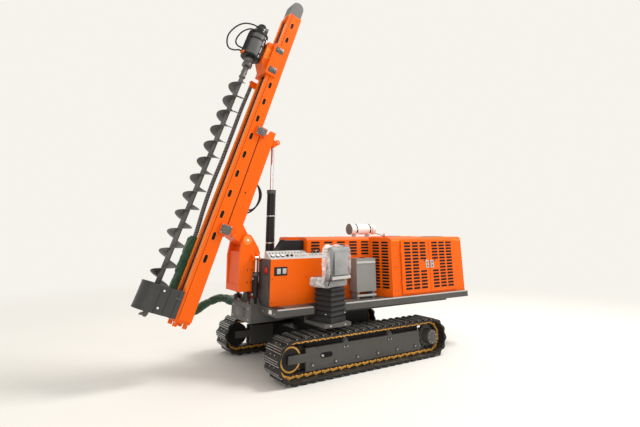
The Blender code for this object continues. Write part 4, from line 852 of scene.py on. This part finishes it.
fork = Shape()
pin = PIN - MIDDLE
for side, sign in sides():
    face = 0.235 * sign
    # lighter orange boss: painted highlight
    fork.lathe((pin.x, face - 0.002 * sign, pin.z), (0, sign, 0), [(0, 0.066), (0.006, 0.064), (0.008, 0.040),
               (0.009, 0.030)], HIGHLIGHT_ORANGE, 28)
    fork.bolt((pin.x, face + 0.006 * sign, pin.z), (0, sign, 0), 0.017, WHITE)
    for step in range(6):
        angle = tau * step / 6
        fork.bolt((pin.x + 0.050 * cos(angle), face + sign * 0.003, pin.z + 0.050 * sin(angle)), (0, sign, 0), 0.006)
    for x, z in ((1.52, 1.14), (1.58, 1.14), (1.52, 1.30), (1.58, 1.30)):
        fork.bolt((x, face, z), (0, sign, 0), 0.008, BLACK)
    # fittings at the roll cylinder's head
    fork.block((1.560, sign * 0.205, 1.125), (0.060, 0.050, 0.030), CHARCOAL, 0.003)
fork.done("fork_bolts", "fork")

for side, sign in sides():
    low, high = near_box(f"{side}_roll_barrel")
    middle_y = (low.y + high.y) / 2
    barrel = Shape()
    barrel.lathe((1.475, middle_y, high.z - 0.050), (0, 0, 1), [(0, 0.0402), (0.003, 0.0446), (0.040, 0.0446),
                 (0.046, 0.038)], CHARCOAL, 24)
    for z in (0.985, high.z - 0.085):
        barrel.block((1.5155, middle_y, z), (0.018, 0.026, 0.026), ZINC, 0.003)
    barrel.tube([(1.521, middle_y, 0.990), (1.523, middle_y, 1.05), (1.523, middle_y, 1.12),
                 (1.521, middle_y, high.z - 0.09)], 0.006, BLACK, 10)
    barrel.done(f"{side}_roll_ports", f"{side}_roll_barrel")

low, high = near_box("lift_barrel")
barrel = Shape()
foot = Vector((1.12, 0, 1.25))
barrel.lathe(foot + Vector((0, 0, 1.150)), (0, 0, 1), [(0, 0.0662), (0.004, 0.0730), (0.050, 0.0730), (0.058, 0.056)],
             CHARCOAL, 32)
barrel.lathe(foot + Vector((0, 0, 0.085)), (0, 0, 1), [(0, 0.060), (0.004, 0.0690), (0.030, 0.0690), (0.034, 0.0662)],
             CHARCOAL, 32)
for z in (0.16, 1.13):
    barrel.block((foot.x - 0.066, 0, foot.z + z), (0.022, 0.040, 0.034), ZINC, 0.004)
barrel.tube([foot + Vector(p) for p in ((-0.072, 0, 0.17), (-0.074, 0, 0.35), (-0.074, 0, 0.65), (-0.074, 0, 0.95),
            (-0.072, 0, 1.12))], 0.0075, ZINC, 10)
for z in (0.40, 0.80):
    barrel.lathe(foot + Vector((0, 0, z)), (0, 0, 1), [(0, 0.0662), (0.001, 0.0680), (0.016, 0.0680), (0.017, 0.0662)],
                 ZINC, 32)
barrel.done("lift_barrel_ports", "lift_barrel")

# ---------------------------------------------------------------- carrier and clamps, along the mast

carrier = Shape(MAST)
for side, sign in sides():
    face = 0.166 * sign
    near, far = sorted((face - sign * 0.001, face + sign * 0.0035))
    carrier.box((0.3405, near, -0.06), (0.3485, far, 1.68), SHADE_AND_BLACK)
    for z in (0.02, 0.28, 0.62, 0.96, 1.28, 1.60):
        carrier.bolt((0.320, face - sign * 0.0005, z), (0, sign, 0), 0.007, ORANGE)
    carrier.rod((0.255, face - sign * 0.001, 0.63), (0.255, face + sign * 0.002, 0.63), 0.012, SHADE_AND_BLACK, 14)
    carrier.lathe((0.02, face - sign * 0.002, 1.574), (0, sign, 0), [(0, 0.044), (0.006, 0.042), (0.009, 0.028)],
                  ORANGE, 24)
    carrier.bolt((0.02, face + sign * 0.005, 1.574), (0, sign, 0), 0.014)
    # lighter orange disc: painted highlight
    carrier.lathe((0, face - sign * 0.002, 0), (0, sign, 0), [(0, 0.055), (0.004, 0.053)], HIGHLIGHT_ORANGE, 24)
carrier.done("carrier_trim", "carrier")

pads = Shape(MAST)
for node in ("lower_slide_clamp", "upper_slide_clamp"):
    upper = node.startswith("upper")
    base_z, top_z = (1.5353, 1.68) if upper else (-0.035, 0.11)
    for side, sign in sides():
        outer = 0.2148 * sign
        near, far = sorted((outer - sign * 0.001, outer + sign * 0.008))
        pads.box((0.285, near, base_z + 0.010), (0.440, far, top_z - 0.010), CAST, 0.003)
        rib_near, rib_far = sorted((outer + sign * 0.006, outer + sign * 0.0095))
        for step in range(5):
            z = base_z + 0.026 + step * 0.022
            pads.box((0.292, rib_near, z), (0.433, rib_far, z + 0.007), CHARCOAL, 0.001)
        for z in (base_z + 0.018, top_z - 0.018):
            pads.bolt((0.300, outer + sign * 0.007, z), (0, sign, 0), 0.007)
            pads.bolt((0.425, outer + sign * 0.007, z), (0, sign, 0), 0.007)
pads.done("clamp_pads", "carrier")

# ---------------------------------------------------------------- mast

mast = Shape(MAST)
MAST_FACE = 0.593
for side, sign in sides():
    face = 0.168 * sign
    near, far = sorted((face - sign * 0.002, face + sign * 0.0015))
    for number in range(14):
        z = -0.407 + 0.314 * number
        outline = capsule(z, 0.483, 0.121, 0.0555, 6)
        inner = capsule(z, 0.483, 0.117, 0.052, 6)
        # a pressed rim round each slot, in the lighter orange of a painted highlight, over a near-black well of
        # painted shade
        rim = [Vector((b, face + sign * 0.0008, a)) for a, b in outline]
        mast.tube(rim + rim[:1], 0.0028, HIGHLIGHT_ORANGE, 6)
        well_near, well_far = sorted((face - sign * 0.0075, face - sign * 0.0055))
        mast.prism([(b, a) for a, b in inner], "y", well_near, well_far, SHADE_AND_BLACK)
    # front flange and its bolts, in the lighter orange of a painted highlight
    low_y, high_y = sorted((sign * 0.097, sign * 0.1675))
    mast.box((MAST_FACE - 0.001, low_y, -1.19), (MAST_FACE + 0.0045, high_y, 3.895), HIGHLIGHT_ORANGE, 0.002)
    line_near, line_far = sorted((face - sign * 0.001, face + sign * 0.0025))
    mast.box((0.545, line_near, -1.19), (0.549, line_far, 3.895), SHADE_AND_BLACK)
    for number in range(26):
        mast.bolt((MAST_FACE + 0.004, sign * 0.132, -1.10 + 0.196 * number), (1, 0, 0), 0.006, HIGHLIGHT_ORANGE)
# near-black patches: painted shade in the slots of the recess wall
for number in range(16):
    z = -0.95 + 0.314 * number
    mast.box((0.5178, 0.040, z), (0.5215, 0.078, z + 0.135), SHADE_AND_BLACK)
    mast.box((0.5178, -0.078, z), (0.5215, -0.040, z + 0.135), SHADE_AND_BLACK)
# The pale cream rods are painted highlight lines along the edges of the front recess.
CREAM_HIGHLIGHT = coated("cream_painted_highlight", (0.86, 0.55, 0.24, 1), 0.35, metal=0.1, vary=0.08, wear_and_highlight=(0.95, 0.8, 0.55, 1))
for y, x, radius, material in ((0.086, 0.5905, 0.0060, CREAM_HIGHLIGHT), (0.073, 0.5900, 0.0075, BLACK),
                               (0.034, 0.5750, 0.0060, CREAM_HIGHLIGHT), (-0.052, 0.5700, 0.0080, BLACK)):
    mast.rod((x, y, -1.17), (x, y, 3.88), radius, material, 10)
mast.box((0.5182, 0.030, -1.17), (0.5225, 0.066, 3.88), SHADE_AND_BLACK)
mast.done("mast_trim", "mast")

chain = Shape(MAST)
for number in range(132):
    z = -1.13 + number * 0.038
    for y in (-0.017, 0.017):
        chain.block((0.5645, y, z), (0.007, 0.007, 0.033), OCHRE, 0.0015)
    chain.rod((0.5635, -0.021, z + 0.019), (0.5635, 0.021, z + 0.019), 0.0065, OCHRE, 8)
chain.done("feed_chain_links", "mast")

top = Shape(MAST)
top.block((0.610, 0.085, 3.80), (0.036, 0.100, 0.120), ORANGE, 0.003)
top.lathe((0.625, 0.090, 3.80), (1, 0, 0), [(0, 0.046), (0.004, 0.046), (0.006, 0.038), (0.010, 0.038),
          (0.012, 0.046), (0.015, 0.046)], RED, 24)
top.bolt((0.638, 0.090, 3.80), (1, 0, 0), 0.010)
top.done("mast_top_sheave", "mast")

guide = Shape(MAST)
REACH = 0.20
guide_low, guide_high = -1.197, -0.867
for side, sign in sides():
    face = REACH * sign
    near, far = sorted((face - sign * 0.001, face + sign * 0.003))
    for x in (0.66, 0.78, 0.90):
        guide.box((x, near, guide_low + 0.004), (x + 0.004, far, guide_high - 0.004), BLACK)
    guide.bolt((0.86, face, guide_high - 0.055), (0, sign, 0), 0.012, WHITE)
    guide.bolt((0.86, face, guide_low + 0.070), (0, sign, 0), 0.012, WHITE)
    guide.block((0.645, sign * 0.150, guide_high - 0.10), (0.080, 0.112, 0.006), CAP_GREY, 0.001)
band = arc((0.93, 0), REACH + 0.004, -84, 84, 20)
inner = arc((0.93, 0), REACH - 0.001, 84, -84, 20)
for z in (guide_low + 0.002, guide_high - 0.020):
    guide.prism(band + inner, "z", z, z + 0.018, GUIDE_GREY, 0.001)
guide.done("guide_trim", "mast")

low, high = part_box("mast")
foot_plate = Shape(MAST)
for x in (0.39, 0.56):
    for y in (-0.13, 0.13):
        foot_plate.bolt((x, y, -1.2268), (0, 0, -1), 0.012)
foot_plate.done("mast_foot_bolts", "mast")

# ---------------------------------------------------------------- head and auger

HEAD_X = 0.93
CARRIAGE = Shape(MAST)
for side, sign in sides():
    near, far = sorted((sign * 0.1985, sign * 0.2025))
    for z in (2.68, 3.08):
        CARRIAGE.box((0.475, near, z - 0.055), (0.620, far, z + 0.055), CAST, 0.003)
        for x in (0.505, 0.590):
            CARRIAGE.rod((x, sign * 0.200, z), (x, sign * 0.208, z), 0.026, CHARCOAL, 18)
            CARRIAGE.bolt((x, sign * 0.207, z), (0, sign, 0), 0.008)
    for z in (2.63, 2.88, 3.13):
        CARRIAGE.bolt((0.6595, sign * 0.165, z), (1, 0, 0), 0.010)
    near, far = sorted((sign * 0.130, sign * 0.134))
    # lighter orange plate: painted highlight
    CARRIAGE.box((0.665, near, 2.84), (0.755, far, 3.06), HIGHLIGHT_ORANGE, 0.002)
CARRIAGE.done("carriage_rollers", "head")

head = Shape(MAST)
LOW, HIGH = 2.76, 3.26


def ring(start, profile, material):
    head.lathe((HEAD_X, 0, start), (0, 0, 1), profile, material, 44)


ring(LOW + 0.0003, [(0, 0.150), (0.004, 0.164), (0.034, 0.1648), (0.038, 0.160)], BLACK)
ring(LOW + 0.038, [(0, 0.155), (0.002, 0.157), (0.292, 0.157), (0.294, 0.155)], CAST)
ring(LOW + 0.330, [(0, 0.157), (0.002, 0.163), (0.030, 0.163), (0.034, 0.157)], BLACK)
ring(LOW + 0.364, [(0, 0.154), (0.090, 0.154)], CAST)
ring(LOW + 0.452, [(0, 0.155), (0.003, 0.164), (0.043, 0.1648), (0.0475, 0.158)], BLACK)
for step in range(14):
    angle = tau * (step + 0.5) / 14
    spoke = Vector((HEAD_X + 0.143 * cos(angle), 0.143 * sin(angle), HIGH - 0.001))
    head.bolt(spoke, (0, 0, 1), 0.008)
for step in range(5):
    angle = radians(-60 + 30 * step) + pi
    spoke = Vector((0.155 * cos(angle), 0.155 * sin(angle), 0))
    head.block(Vector((HEAD_X, 0, HIGH - 0.085)) + spoke, (0.016, 0.016, 0.030), ZINC, 0.003)
for y, z in ((0.02, 2.80), (-0.02, 2.88)):
    head.rod((HEAD_X + 0.150, y, z), (HEAD_X + 0.1650, y, z), 0.019, ZINC, 6)
for y, reach in ((0.050, 0.176), (0.085, 0.170), (0.015, 0.181)):
    head.tube([(HEAD_X + 0.075, y, 3.262), (HEAD_X + 0.130, y, 3.266), (HEAD_X + reach - 0.010, y, 3.245),
               (HEAD_X + reach, y, 3.18), (HEAD_X + reach, y, 3.05), (HEAD_X + reach, y, 2.92),
               (HEAD_X + reach, y, 2.80)], 0.0115, HOSE, 12)
    head.rod((HEAD_X + reach, y, 2.765), (HEAD_X + reach, y, 2.802), 0.015, ORANGE, 6)
for y in (0.120, 0.145):
    head.rod((HEAD_X - 0.080, y, 2.775), (HEAD_X - 0.080, y, 3.19), 0.011, ZINC, 10)
    for z in (2.83, 2.98, 3.12):
        head.rod((HEAD_X - 0.080, y, z), (HEAD_X - 0.080, y, z + 0.030), 0.016, BLACK, 6)
head.done("rotary_head_shell", "head", replaces=("rotary_head",))

motor = Shape(MAST)
motor.block((0.925, 0, 3.330), (0.192, 0.182, 0.120), BLACK, 0.010)
for y in (-0.05, 0.05):
    for x in (0.845, 1.005):
        motor.bolt((x, y * 1.3, 3.3895), (0, 0, 1), 0.010)
motor.rod((1.018, 0.05, 3.36), (1.0203, 0.05, 3.36), 0.018, ZINC, 6)
motor.rod((1.018, -0.05, 3.33), (1.0203, -0.05, 3.33), 0.018, ZINC, 6)
motor.lathe((HEAD_X, 0, 3.3895), (0, 0, 1), [(0, 0.055), (0.020, 0.062), (0.060, 0.062), (0.068, 0.050)], BLACK, 28)
for y, z in ((0.088, 3.31), (0.088, 3.35), (-0.088, 3.33)):
    motor.block((0.905, y, z), (0.030, 0.010, 0.018), ZINC, 0.002)
motor.done("head_motor_fittings", "head")

auger = Shape(MAST)
FLIGHT_LOW, FLIGHT_HIGH, FLIGHT_RADIUS, STEM = -1.27, 2.35, 0.153, 0.037
TURNS = 163 / 12
part = bmesh.new()
steps = 700
rows = []
for step in range(steps + 1):
    share = step / steps
    angle = tau * TURNS * share
    taper = min(1.0, 0.35 + share * 22, 0.30 + (1 - share) * 16)
    z = FLIGHT_LOW + 0.012 + (FLIGHT_HIGH - FLIGHT_LOW - 0.024) * share
    row = []
    for radius, thick in ((STEM - 0.004, 0.004), (FLIGHT_RADIUS * 0.97 * taper + STEM * (1 - taper), 0.004),
                          (FLIGHT_RADIUS * taper + STEM * (1 - taper), 0.002)):
        for lift in (thick, -thick):
            row.append((radius, lift))
    ring_points = [row[0], row[2], row[4], row[5], row[3], row[1]]
    rows.append([
        part.verts.new((HEAD_X + r * cos(angle), r * sin(angle), z + lift)) for r, lift in ring_points
    ])
for a, b in zip(rows, rows[1:]):
    for i in range(6):
        part.faces.new((a[i - 1], a[i], b[i], b[i - 1]))
part.faces.new(rows[0][::-1])
part.faces.new(rows[-1])
auger._take(part, AUGER_STEEL, True)
auger.lathe((HEAD_X, 0, FLIGHT_LOW + 0.001), (0, 0, 1), [(0, 0.020), (0.03, STEM), (3.635, STEM), (3.65, 0.055),
            (3.67, 0.055), (3.68, 0.046), (3.85, 0.046)], AUGER_STEEL, 28)
auger.lathe((HEAD_X, 0, 2.592), (0, 0, 1), [(0, 0.060), (0.006, 0.084), (0.060, 0.0848), (0.075, 0.078),
            (0.110, 0.078), (0.118, 0.0848), (0.160, 0.0848), (0.1665, 0.080)], CAST, 36)
for step in range(8):
    angle = tau * step / 8
    auger.bolt((HEAD_X + 0.068 * cos(angle), 0.068 * sin(angle), 2.600), (0, 0, -1), 0.008)
auger.rod((HEAD_X - 0.060, 0, 2.48), (HEAD_X + 0.060, 0, 2.48), 0.011, ZINC, 12)
auger.done("auger_flight", "auger", replaces=("auger",), angle=50)

# ---------------------------------------------------------------- hoses and sleeves

BUNDLE_Y = -0.247
ROUTES = {
    "mast_hose_bundle": (MAST, "mast", 0.034, SPIRAL, [
        (0.660, BUNDLE_Y, 2.50), (0.660, BUNDLE_Y, 2.42), (0.660, BUNDLE_Y, 2.34), (0.668, BUNDLE_Y, 2.03),
        (0.660, BUNDLE_Y, 1.48), (0.655, BUNDLE_Y, 1.03), (0.660, BUNDLE_Y, 0.66), (0.645, BUNDLE_Y, 0.29),
        (0.620, BUNDLE_Y, 0.00), (0.612, BUNDLE_Y, -0.09), (0.612, BUNDLE_Y, -0.12),
        (0.612, BUNDLE_Y, -0.1497)]),
    "mast_hose_sleeve": (MAST, "mast", 0.058, SLEEVE_CLOTH, [
        (0.612, -0.268, -0.15), (0.612, -0.268, -0.19), (0.612, -0.268, -0.23), (0.612, -0.270, -0.40),
        (0.608, -0.272, -0.62), (0.601, -0.272, -0.82), (0.600, -0.272, -0.88), (0.600, -0.272, -0.91),
        (0.600, -0.272, -0.94)]),
    "deck_hose_sleeve": (BASE, "chassis", 0.045, SLEEVE_CLOTH, [
        (1.4148, -0.520, 0.799), (1.440, -0.520, 0.799), (1.465, -0.520, 0.799), (1.620, -0.455, 0.860),
        (1.780, -0.380, 0.870), (1.920, -0.335, 0.838), (2.080, -0.300, 0.765), (2.190, -0.287, 0.725),
        (2.300, -0.280, 0.712), (2.400, -0.276, 0.748), (2.460, -0.273, 0.830), (2.4789, -0.272, 0.9412),
        (2.46948, -0.272, 0.96969), (2.46006, -0.272, 0.99817)]),
    "head_hose_1": (MAST, "head", 0.013, HOSE, [
        (1.0205, 0.05, 3.36), (1.045, 0.05, 3.36), (1.07, 0.05, 3.36), (1.26, 0.07, 3.27),
        (1.40, 0.09, 3.05), (1.43, 0.10, 2.84), (1.35, 0.08, 2.71), (1.24, 0.04, 2.74),
        (1.15, 0.02, 2.80), (1.122, 0.02, 2.80), (1.0955, 0.02, 2.80)]),
    "head_hose_2": (MAST, "head", 0.013, HOSE, [
        (1.0205, -0.05, 3.33), (1.045, -0.05, 3.33), (1.07, -0.05, 3.33), (1.19, -0.07, 3.22),
        (1.245, -0.08, 3.06), (1.24, -0.07, 2.95), (1.19, -0.04, 2.89), (1.15, -0.02, 2.88),
        (1.122, -0.02, 2.88), (1.0955, -0.02, 2.88)]),
    "carrier_hose_1": (MAST, "carrier", 0.013, HOSE, [
        (0.3286, -0.115, 0.98), (0.29, -0.115, 0.98), (0.25, -0.115, 0.98), (0.06, -0.115, 0.93),
        (-0.08, -0.115, 0.78), (-0.11, -0.115, 0.62), (-0.04, -0.115, 0.46), (0.12, -0.115, 0.37),
        (0.25, -0.115, 0.36), (0.29, -0.115, 0.36), (0.3286, -0.115, 0.36)]),
    "carrier_hose_2": (MAST, "carrier", 0.013, HOSE, [
        (0.3286, 0.120, 0.86), (0.29, 0.120, 0.86), (0.25, 0.120, 0.86), (0.06, 0.120, 0.80),
        (-0.02, 0.120, 0.70), (-0.01, 0.120, 0.54), (0.06, 0.120, 0.44), (0.25, 0.120, 0.42),
        (0.29, 0.120, 0.42), (0.3286, 0.120, 0.42)]),
}


def smooth_route(points, spacing):
    legs = [(b - a).normalized() for a, b in zip(points, points[1:])]
    turns = [(a + b).normalized() for a, b in zip(legs, legs[1:])]
    tangents = [legs[0]] + turns + [legs[-1]]
    found = []
    for start, end, leave, arrive in zip(points, points[1:], tangents, tangents[1:]):
        length = (end - start).length
        count = max(1, round(length / spacing))
        for step in range(count):
            t = step / count
            place = start * (2 * t**3 - 3 * t**2 + 1) + end * (3 * t**2 - 2 * t**3)
            pull = leave * (t**3 - 2 * t**2 + t) + arrive * (t**3 - t**2)
            found.append(place + pull * length)
    return found + [points[-1]]


CORD_LENGTHS = {}
for node, (place, body, radius, material, route) in ROUTES.items():
    points = smooth_route([place @ Vector(point) for point in route], max(0.012, radius * 0.7))
    length = sum((b - a).length for a, b in zip(points, points[1:]))
    CORD_LENGTHS[node] = round(length, 3)
    curve = bpy.data.curves.new(f"{node}_run", "CURVE")
    curve.dimensions = "3D"
    curve.bevel_depth = radius
    curve.bevel_resolution = 4
    curve.use_fill_caps = True
    spline = curve.splines.new("POLY")
    spline.points.add(len(points) - 1)
    for number, (target, point) in enumerate(zip(spline.points, points)):
        target.co = (*point, 1)
    curve.materials.append(material)
    run = bpy.data.objects.new(f"{node}_run", curve)
    bpy.context.scene.collection.objects.link(run)
    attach(run, body)
    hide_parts(node)



def grid_piece(name, rows, material, body):
    """A single layer of cloth or film through rows of points, in the row frame."""
    part = bmesh.new()
    made_rows = [[part.verts.new(point) for point in row] for row in rows]
    for a, b in zip(made_rows, made_rows[1:]):
        for i in range(1, len(a)):
            part.faces.new((a[i - 1], a[i], b[i], b[i - 1]))
    bmesh.ops.recalc_face_normals(part, faces=part.faces)
    mesh = bpy.data.meshes.new(name)
    part.to_mesh(mesh)
    part.free()
    for face in mesh.polygons:
        face.use_smooth = True
    mesh.materials.append(material)
    made = bpy.data.objects.new(name, mesh)
    bpy.context.scene.collection.objects.link(made)
    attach(made, body)


def cloth_sleeve(name, node, radius, lean, body):
    """The fabric cover gathered round a hose bundle, baggy between its ties."""
    place, _, _, _, route = ROUTES[node]
    points = smooth_route([place @ Vector(point) for point in route], 0.009)
    length = sum((b - a).length for a, b in zip(points, points[1:]))
    rows = []
    side = Vector((0, 1, 0))
    for number, point in enumerate(points):
        ahead = (points[min(number + 1, len(points) - 1)] - points[max(number - 1, 0)]).normalized()
        side = (side - ahead * side.dot(ahead)).normalized()
        other = ahead.cross(side)
        share = number / (len(points) - 1)
        end = min(1.0, 0.72 + 6 * min(share, 1 - share))
        tie = 1 - 0.16 * max(0.0, cos(tau * share * round(length / 0.27))) ** 10
        row = []
        for k in range(47):  # the edges overlap a little at the seam
            angle = tau * k / 44
            spoke = (side * cos(angle) + other * sin(angle)) * (1 + 0.0007 * k)
            at = point + spoke * radius
            fold = noise.noise(at * 16 + Vector((0, 0, number * 0.012)))
            pleat = noise.noise(Vector((cos(angle) * 2.6, sin(angle) * 2.6, number * 0.085)))
            swell = 1 + 0.13 * fold + 0.13 * pleat
            row.append(point + Vector(lean) * end + spoke * radius * swell * end * tie)
        rows.append(row)
    grid_piece(name, rows, SLEEVE_CLOTH, body)


cloth_sleeve("mast_sleeve_cloth", "mast_hose_sleeve", 0.074, (0.004, -0.020, 0), "mast")
cloth_sleeve("deck_sleeve_cloth", "deck_hose_sleeve", 0.054, (0, 0, 0), "chassis")

# ---------------------------------------------------------------- seat


def padded(node, name, cap, shrink):
    """A cushion puffed out from the CAD block: remeshed, inflated as cloth, and capped."""
    source = frame["nodes"][node]
    mesh = source.data.copy()
    made = bpy.data.objects.new(name, mesh)
    made.matrix_world = source.matrix_world
    bpy.context.scene.collection.objects.link(made)
    middle = sum((v.co for v in mesh.vertices), Vector()) / len(mesh.vertices)
    for vertex in mesh.vertices:
        offset = vertex.co - middle
        vertex.co = middle + Vector([c * (1 - shrink / max(abs(c), 0.03)) for c in offset])
    bpy.context.view_layer.objects.active = made
    remesh = made.modifiers.new("remesh", "REMESH")
    remesh.mode = "VOXEL"
    remesh.voxel_size = 0.009
    graph = bpy.context.evaluated_depsgraph_get()
    fine = bpy.data.meshes.new_from_object(made.evaluated_get(graph))
    made.modifiers.clear()
    made.data = fine
    before = [v.co.copy() for v in fine.vertices]
    cloth = made.modifiers.new("cloth", "CLOTH")
    cloth.settings.use_pressure = True
    cloth.settings.uniform_pressure_force = 4
    cloth.settings.effector_weights.gravity = 0
    cloth.point_cache.frame_start = 1
    cloth.point_cache.frame_end = 20
    for number in range(1, 21):
        bpy.context.scene.frame_set(number)
    graph = bpy.context.evaluated_depsgraph_get()
    puffed = bpy.data.meshes.new_from_object(made.evaluated_get(graph))
    made.modifiers.clear()
    made.data = puffed
    bpy.context.scene.frame_set(1)
    for vertex, old in zip(puffed.vertices, before):
        moved = vertex.co - old
        crease = noise.noise(Vector((old.x * 9, old.y * 9, old.z * 16))) * 0.0022
        reach = min(moved.length, cap)
        vertex.co = old + (moved.normalized() * (reach + crease) if moved.length > 1e-6 else Vector())
    for face in puffed.polygons:
        face.use_smooth = True
    puffed.materials.clear()
    puffed.materials.append(SEAT_CLOTH)
    subdivide = made.modifiers.new("subdivide", "SUBSURF")
    subdivide.levels = subdivide.render_levels = 1
    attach(made, "chassis")
    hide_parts(node)
    return made


padded("seat_cushion", "seat_cushion_pad", 0.010, 0.011)
padded("seat_back", "seat_back_pad", 0.010, 0.011)


def film_band(name, path, cross, low, high):
    """A crumpled strip of packing film wrapped over an edge that runs along path."""
    points = smooth_route([Vector(point) for point in path], 0.016)
    rows = []
    for number, point in enumerate(points):
        ahead = (points[min(number + 1, len(points) - 1)] - points[max(number - 1, 0)]).normalized()
        out = cross.cross(ahead).normalized()
        row = []
        for k in range(15):
            share = k / 14
            at = point + cross * (low + (high - low) * share)
            crumple = 0.011 * noise.noise(at * 22) + 0.006 * noise.noise(at * 60)
            arch = 0.030 * (1 - (2 * share - 1) ** 4) - 0.012
            row.append(SEAT @ (at + out * (arch + crumple)))
        rows.append(row)
    grid_piece(name, rows, FILM, "chassis")


SEAT = BASE @ Matrix.Translation((0.58, 0.85, 0.64)) @ Matrix.Rotation(radians(15), 4, "Z")
film_band("seat_back_film", [(-0.214, 0, 0.575), (-0.218, 0, 0.70), (-0.216, 0, 0.90), (-0.185, 0, 0.978),
          (0, 0, 0.990), (0.185, 0, 0.978), (0.216, 0, 0.90), (0.218, 0, 0.70), (0.214, 0, 0.575)],
          Vector((0, 1, 0)), 0.052, 0.205)
film_band("seat_cushion_film", [(0.222, 0.10, 0), (0.222, -0.06, 0), (0.215, -0.165, 0), (0.160, -0.195, 0),
          (0, -0.200, 0), (-0.160, -0.195, 0), (-0.215, -0.165, 0), (-0.222, -0.06, 0), (-0.222, 0.10, 0)],
          Vector((0, 0, 1)), 0.446, 0.572)

seat = Shape(SEAT)
for z in (0.66, 0.84):
    seat.tube([(-0.215, 0.056, z), (-0.10, 0.051, z + 0.002), (0.10, 0.051, z + 0.002), (0.215, 0.056, z)],
              0.003, BLACK, 8)
seat.block((0, 0.2165, 0.76), (0.30, 0.005, 0.30), SEAT_CLOTH, 0.002)
seat.block((0, 0.217, 0.572), (0.40, 0.010, 0.040), PALE, 0.004)
for side, sign in sides():
    seat.tube([(sign * 0.222, 0.16, 0.48), (sign * 0.222, 0.19, 0.54), (sign * 0.222, 0.205, 0.62)], 0.007, BLACK)
    seat.bolt((sign * 0.09, 0.217, 0.62), (0, 1, 0), 0.008)
seat.done("seat_trim", "chassis")

bracket = Shape()
low, high = near_box("seat_bracket")
for x, y in ((0.42, 0.62), (0.74, 0.62), (0.42, 0.98), (0.74, 0.98)):
    bracket.bolt((x, y, high.z - 0.0005), (0, 0, 1), 0.009, WHITE)
for x in (0.46, 0.70):
    bracket.bolt((x, high.y, 0.617), (0, 1, 0), 0.008, WHITE)
bracket.done("seat_bracket_bolts", "chassis")

# ---------------------------------------------------------------- floor and light

WORLD = (0.922, 0.896, 0.839, 1)
world = bpy.data.worlds.new("studio")
world.use_nodes = True
world.node_tree.nodes["Background"].inputs["Color"].default_value = WORLD
world.node_tree.nodes["Background"].inputs["Strength"].default_value = 1.0
bpy.context.scene.world = world

floor_mesh = bpy.data.meshes.new("floor")
bm = bmesh.new()
bmesh.ops.create_circle(bm, cap_ends=True, segments=96, radius=220)
bm.to_mesh(floor_mesh)
bm.free()
floor = bpy.data.objects.new("floor", floor_mesh)
floor.location.z = -0.0015
bpy.context.scene.collection.objects.link(floor)
n = Nodes("studio_floor")
n.link(n.mix(n.ramp(n.noise(0.6, 3), 0.3, 0.7), (0.735, 0.722, 0.690, 1), (0.76, 0.746, 0.714, 1)), "Base Color")
n.put(Roughness=0.85)
glow = n.tree.nodes.new("ShaderNodeEmission")
glow.inputs["Color"].default_value = WORLD
fade = n.tree.nodes.new("ShaderNodeVectorMath")
fade.operation = "LENGTH"
n.tree.links.new(n.coords, fade.inputs[0])
blend = n.tree.nodes.new("ShaderNodeMixShader")
n.tree.links.new(n.ramp(fade.outputs["Value"], 4.5, 12.0), blend.inputs[0])
n.tree.links.new(n.shader.outputs[0], blend.inputs[1])
n.tree.links.new(glow.outputs[0], blend.inputs[2])
n.tree.links.new(blend.outputs[0], n.tree.nodes["Material Output"].inputs["Surface"])
floor_mesh.materials.append(n.material)


def area(name, place, aim, size, power, colour=(1, 1, 1)):
    light = bpy.data.lights.new(name, "AREA")
    light.energy = power
    light.size = size
    light.color = colour
    lamp = bpy.data.objects.new(name, light)
    lamp.location = place
    lamp.rotation_mode = "QUATERNION"
    lamp.rotation_quaternion = (Vector(aim) - Vector(place)).to_track_quat("-Z", "Y")
    bpy.context.scene.collection.objects.link(lamp)
    return lamp


area("key", (-6.0, 3.5, 11.0), (0, 0, 1.2), 4.0, 1150, (1.0, 0.985, 0.96))
area("fill", (7.0, 9.0, 5.0), (0, 0, 1.5), 6.0, 160, (0.95, 0.97, 1.0))
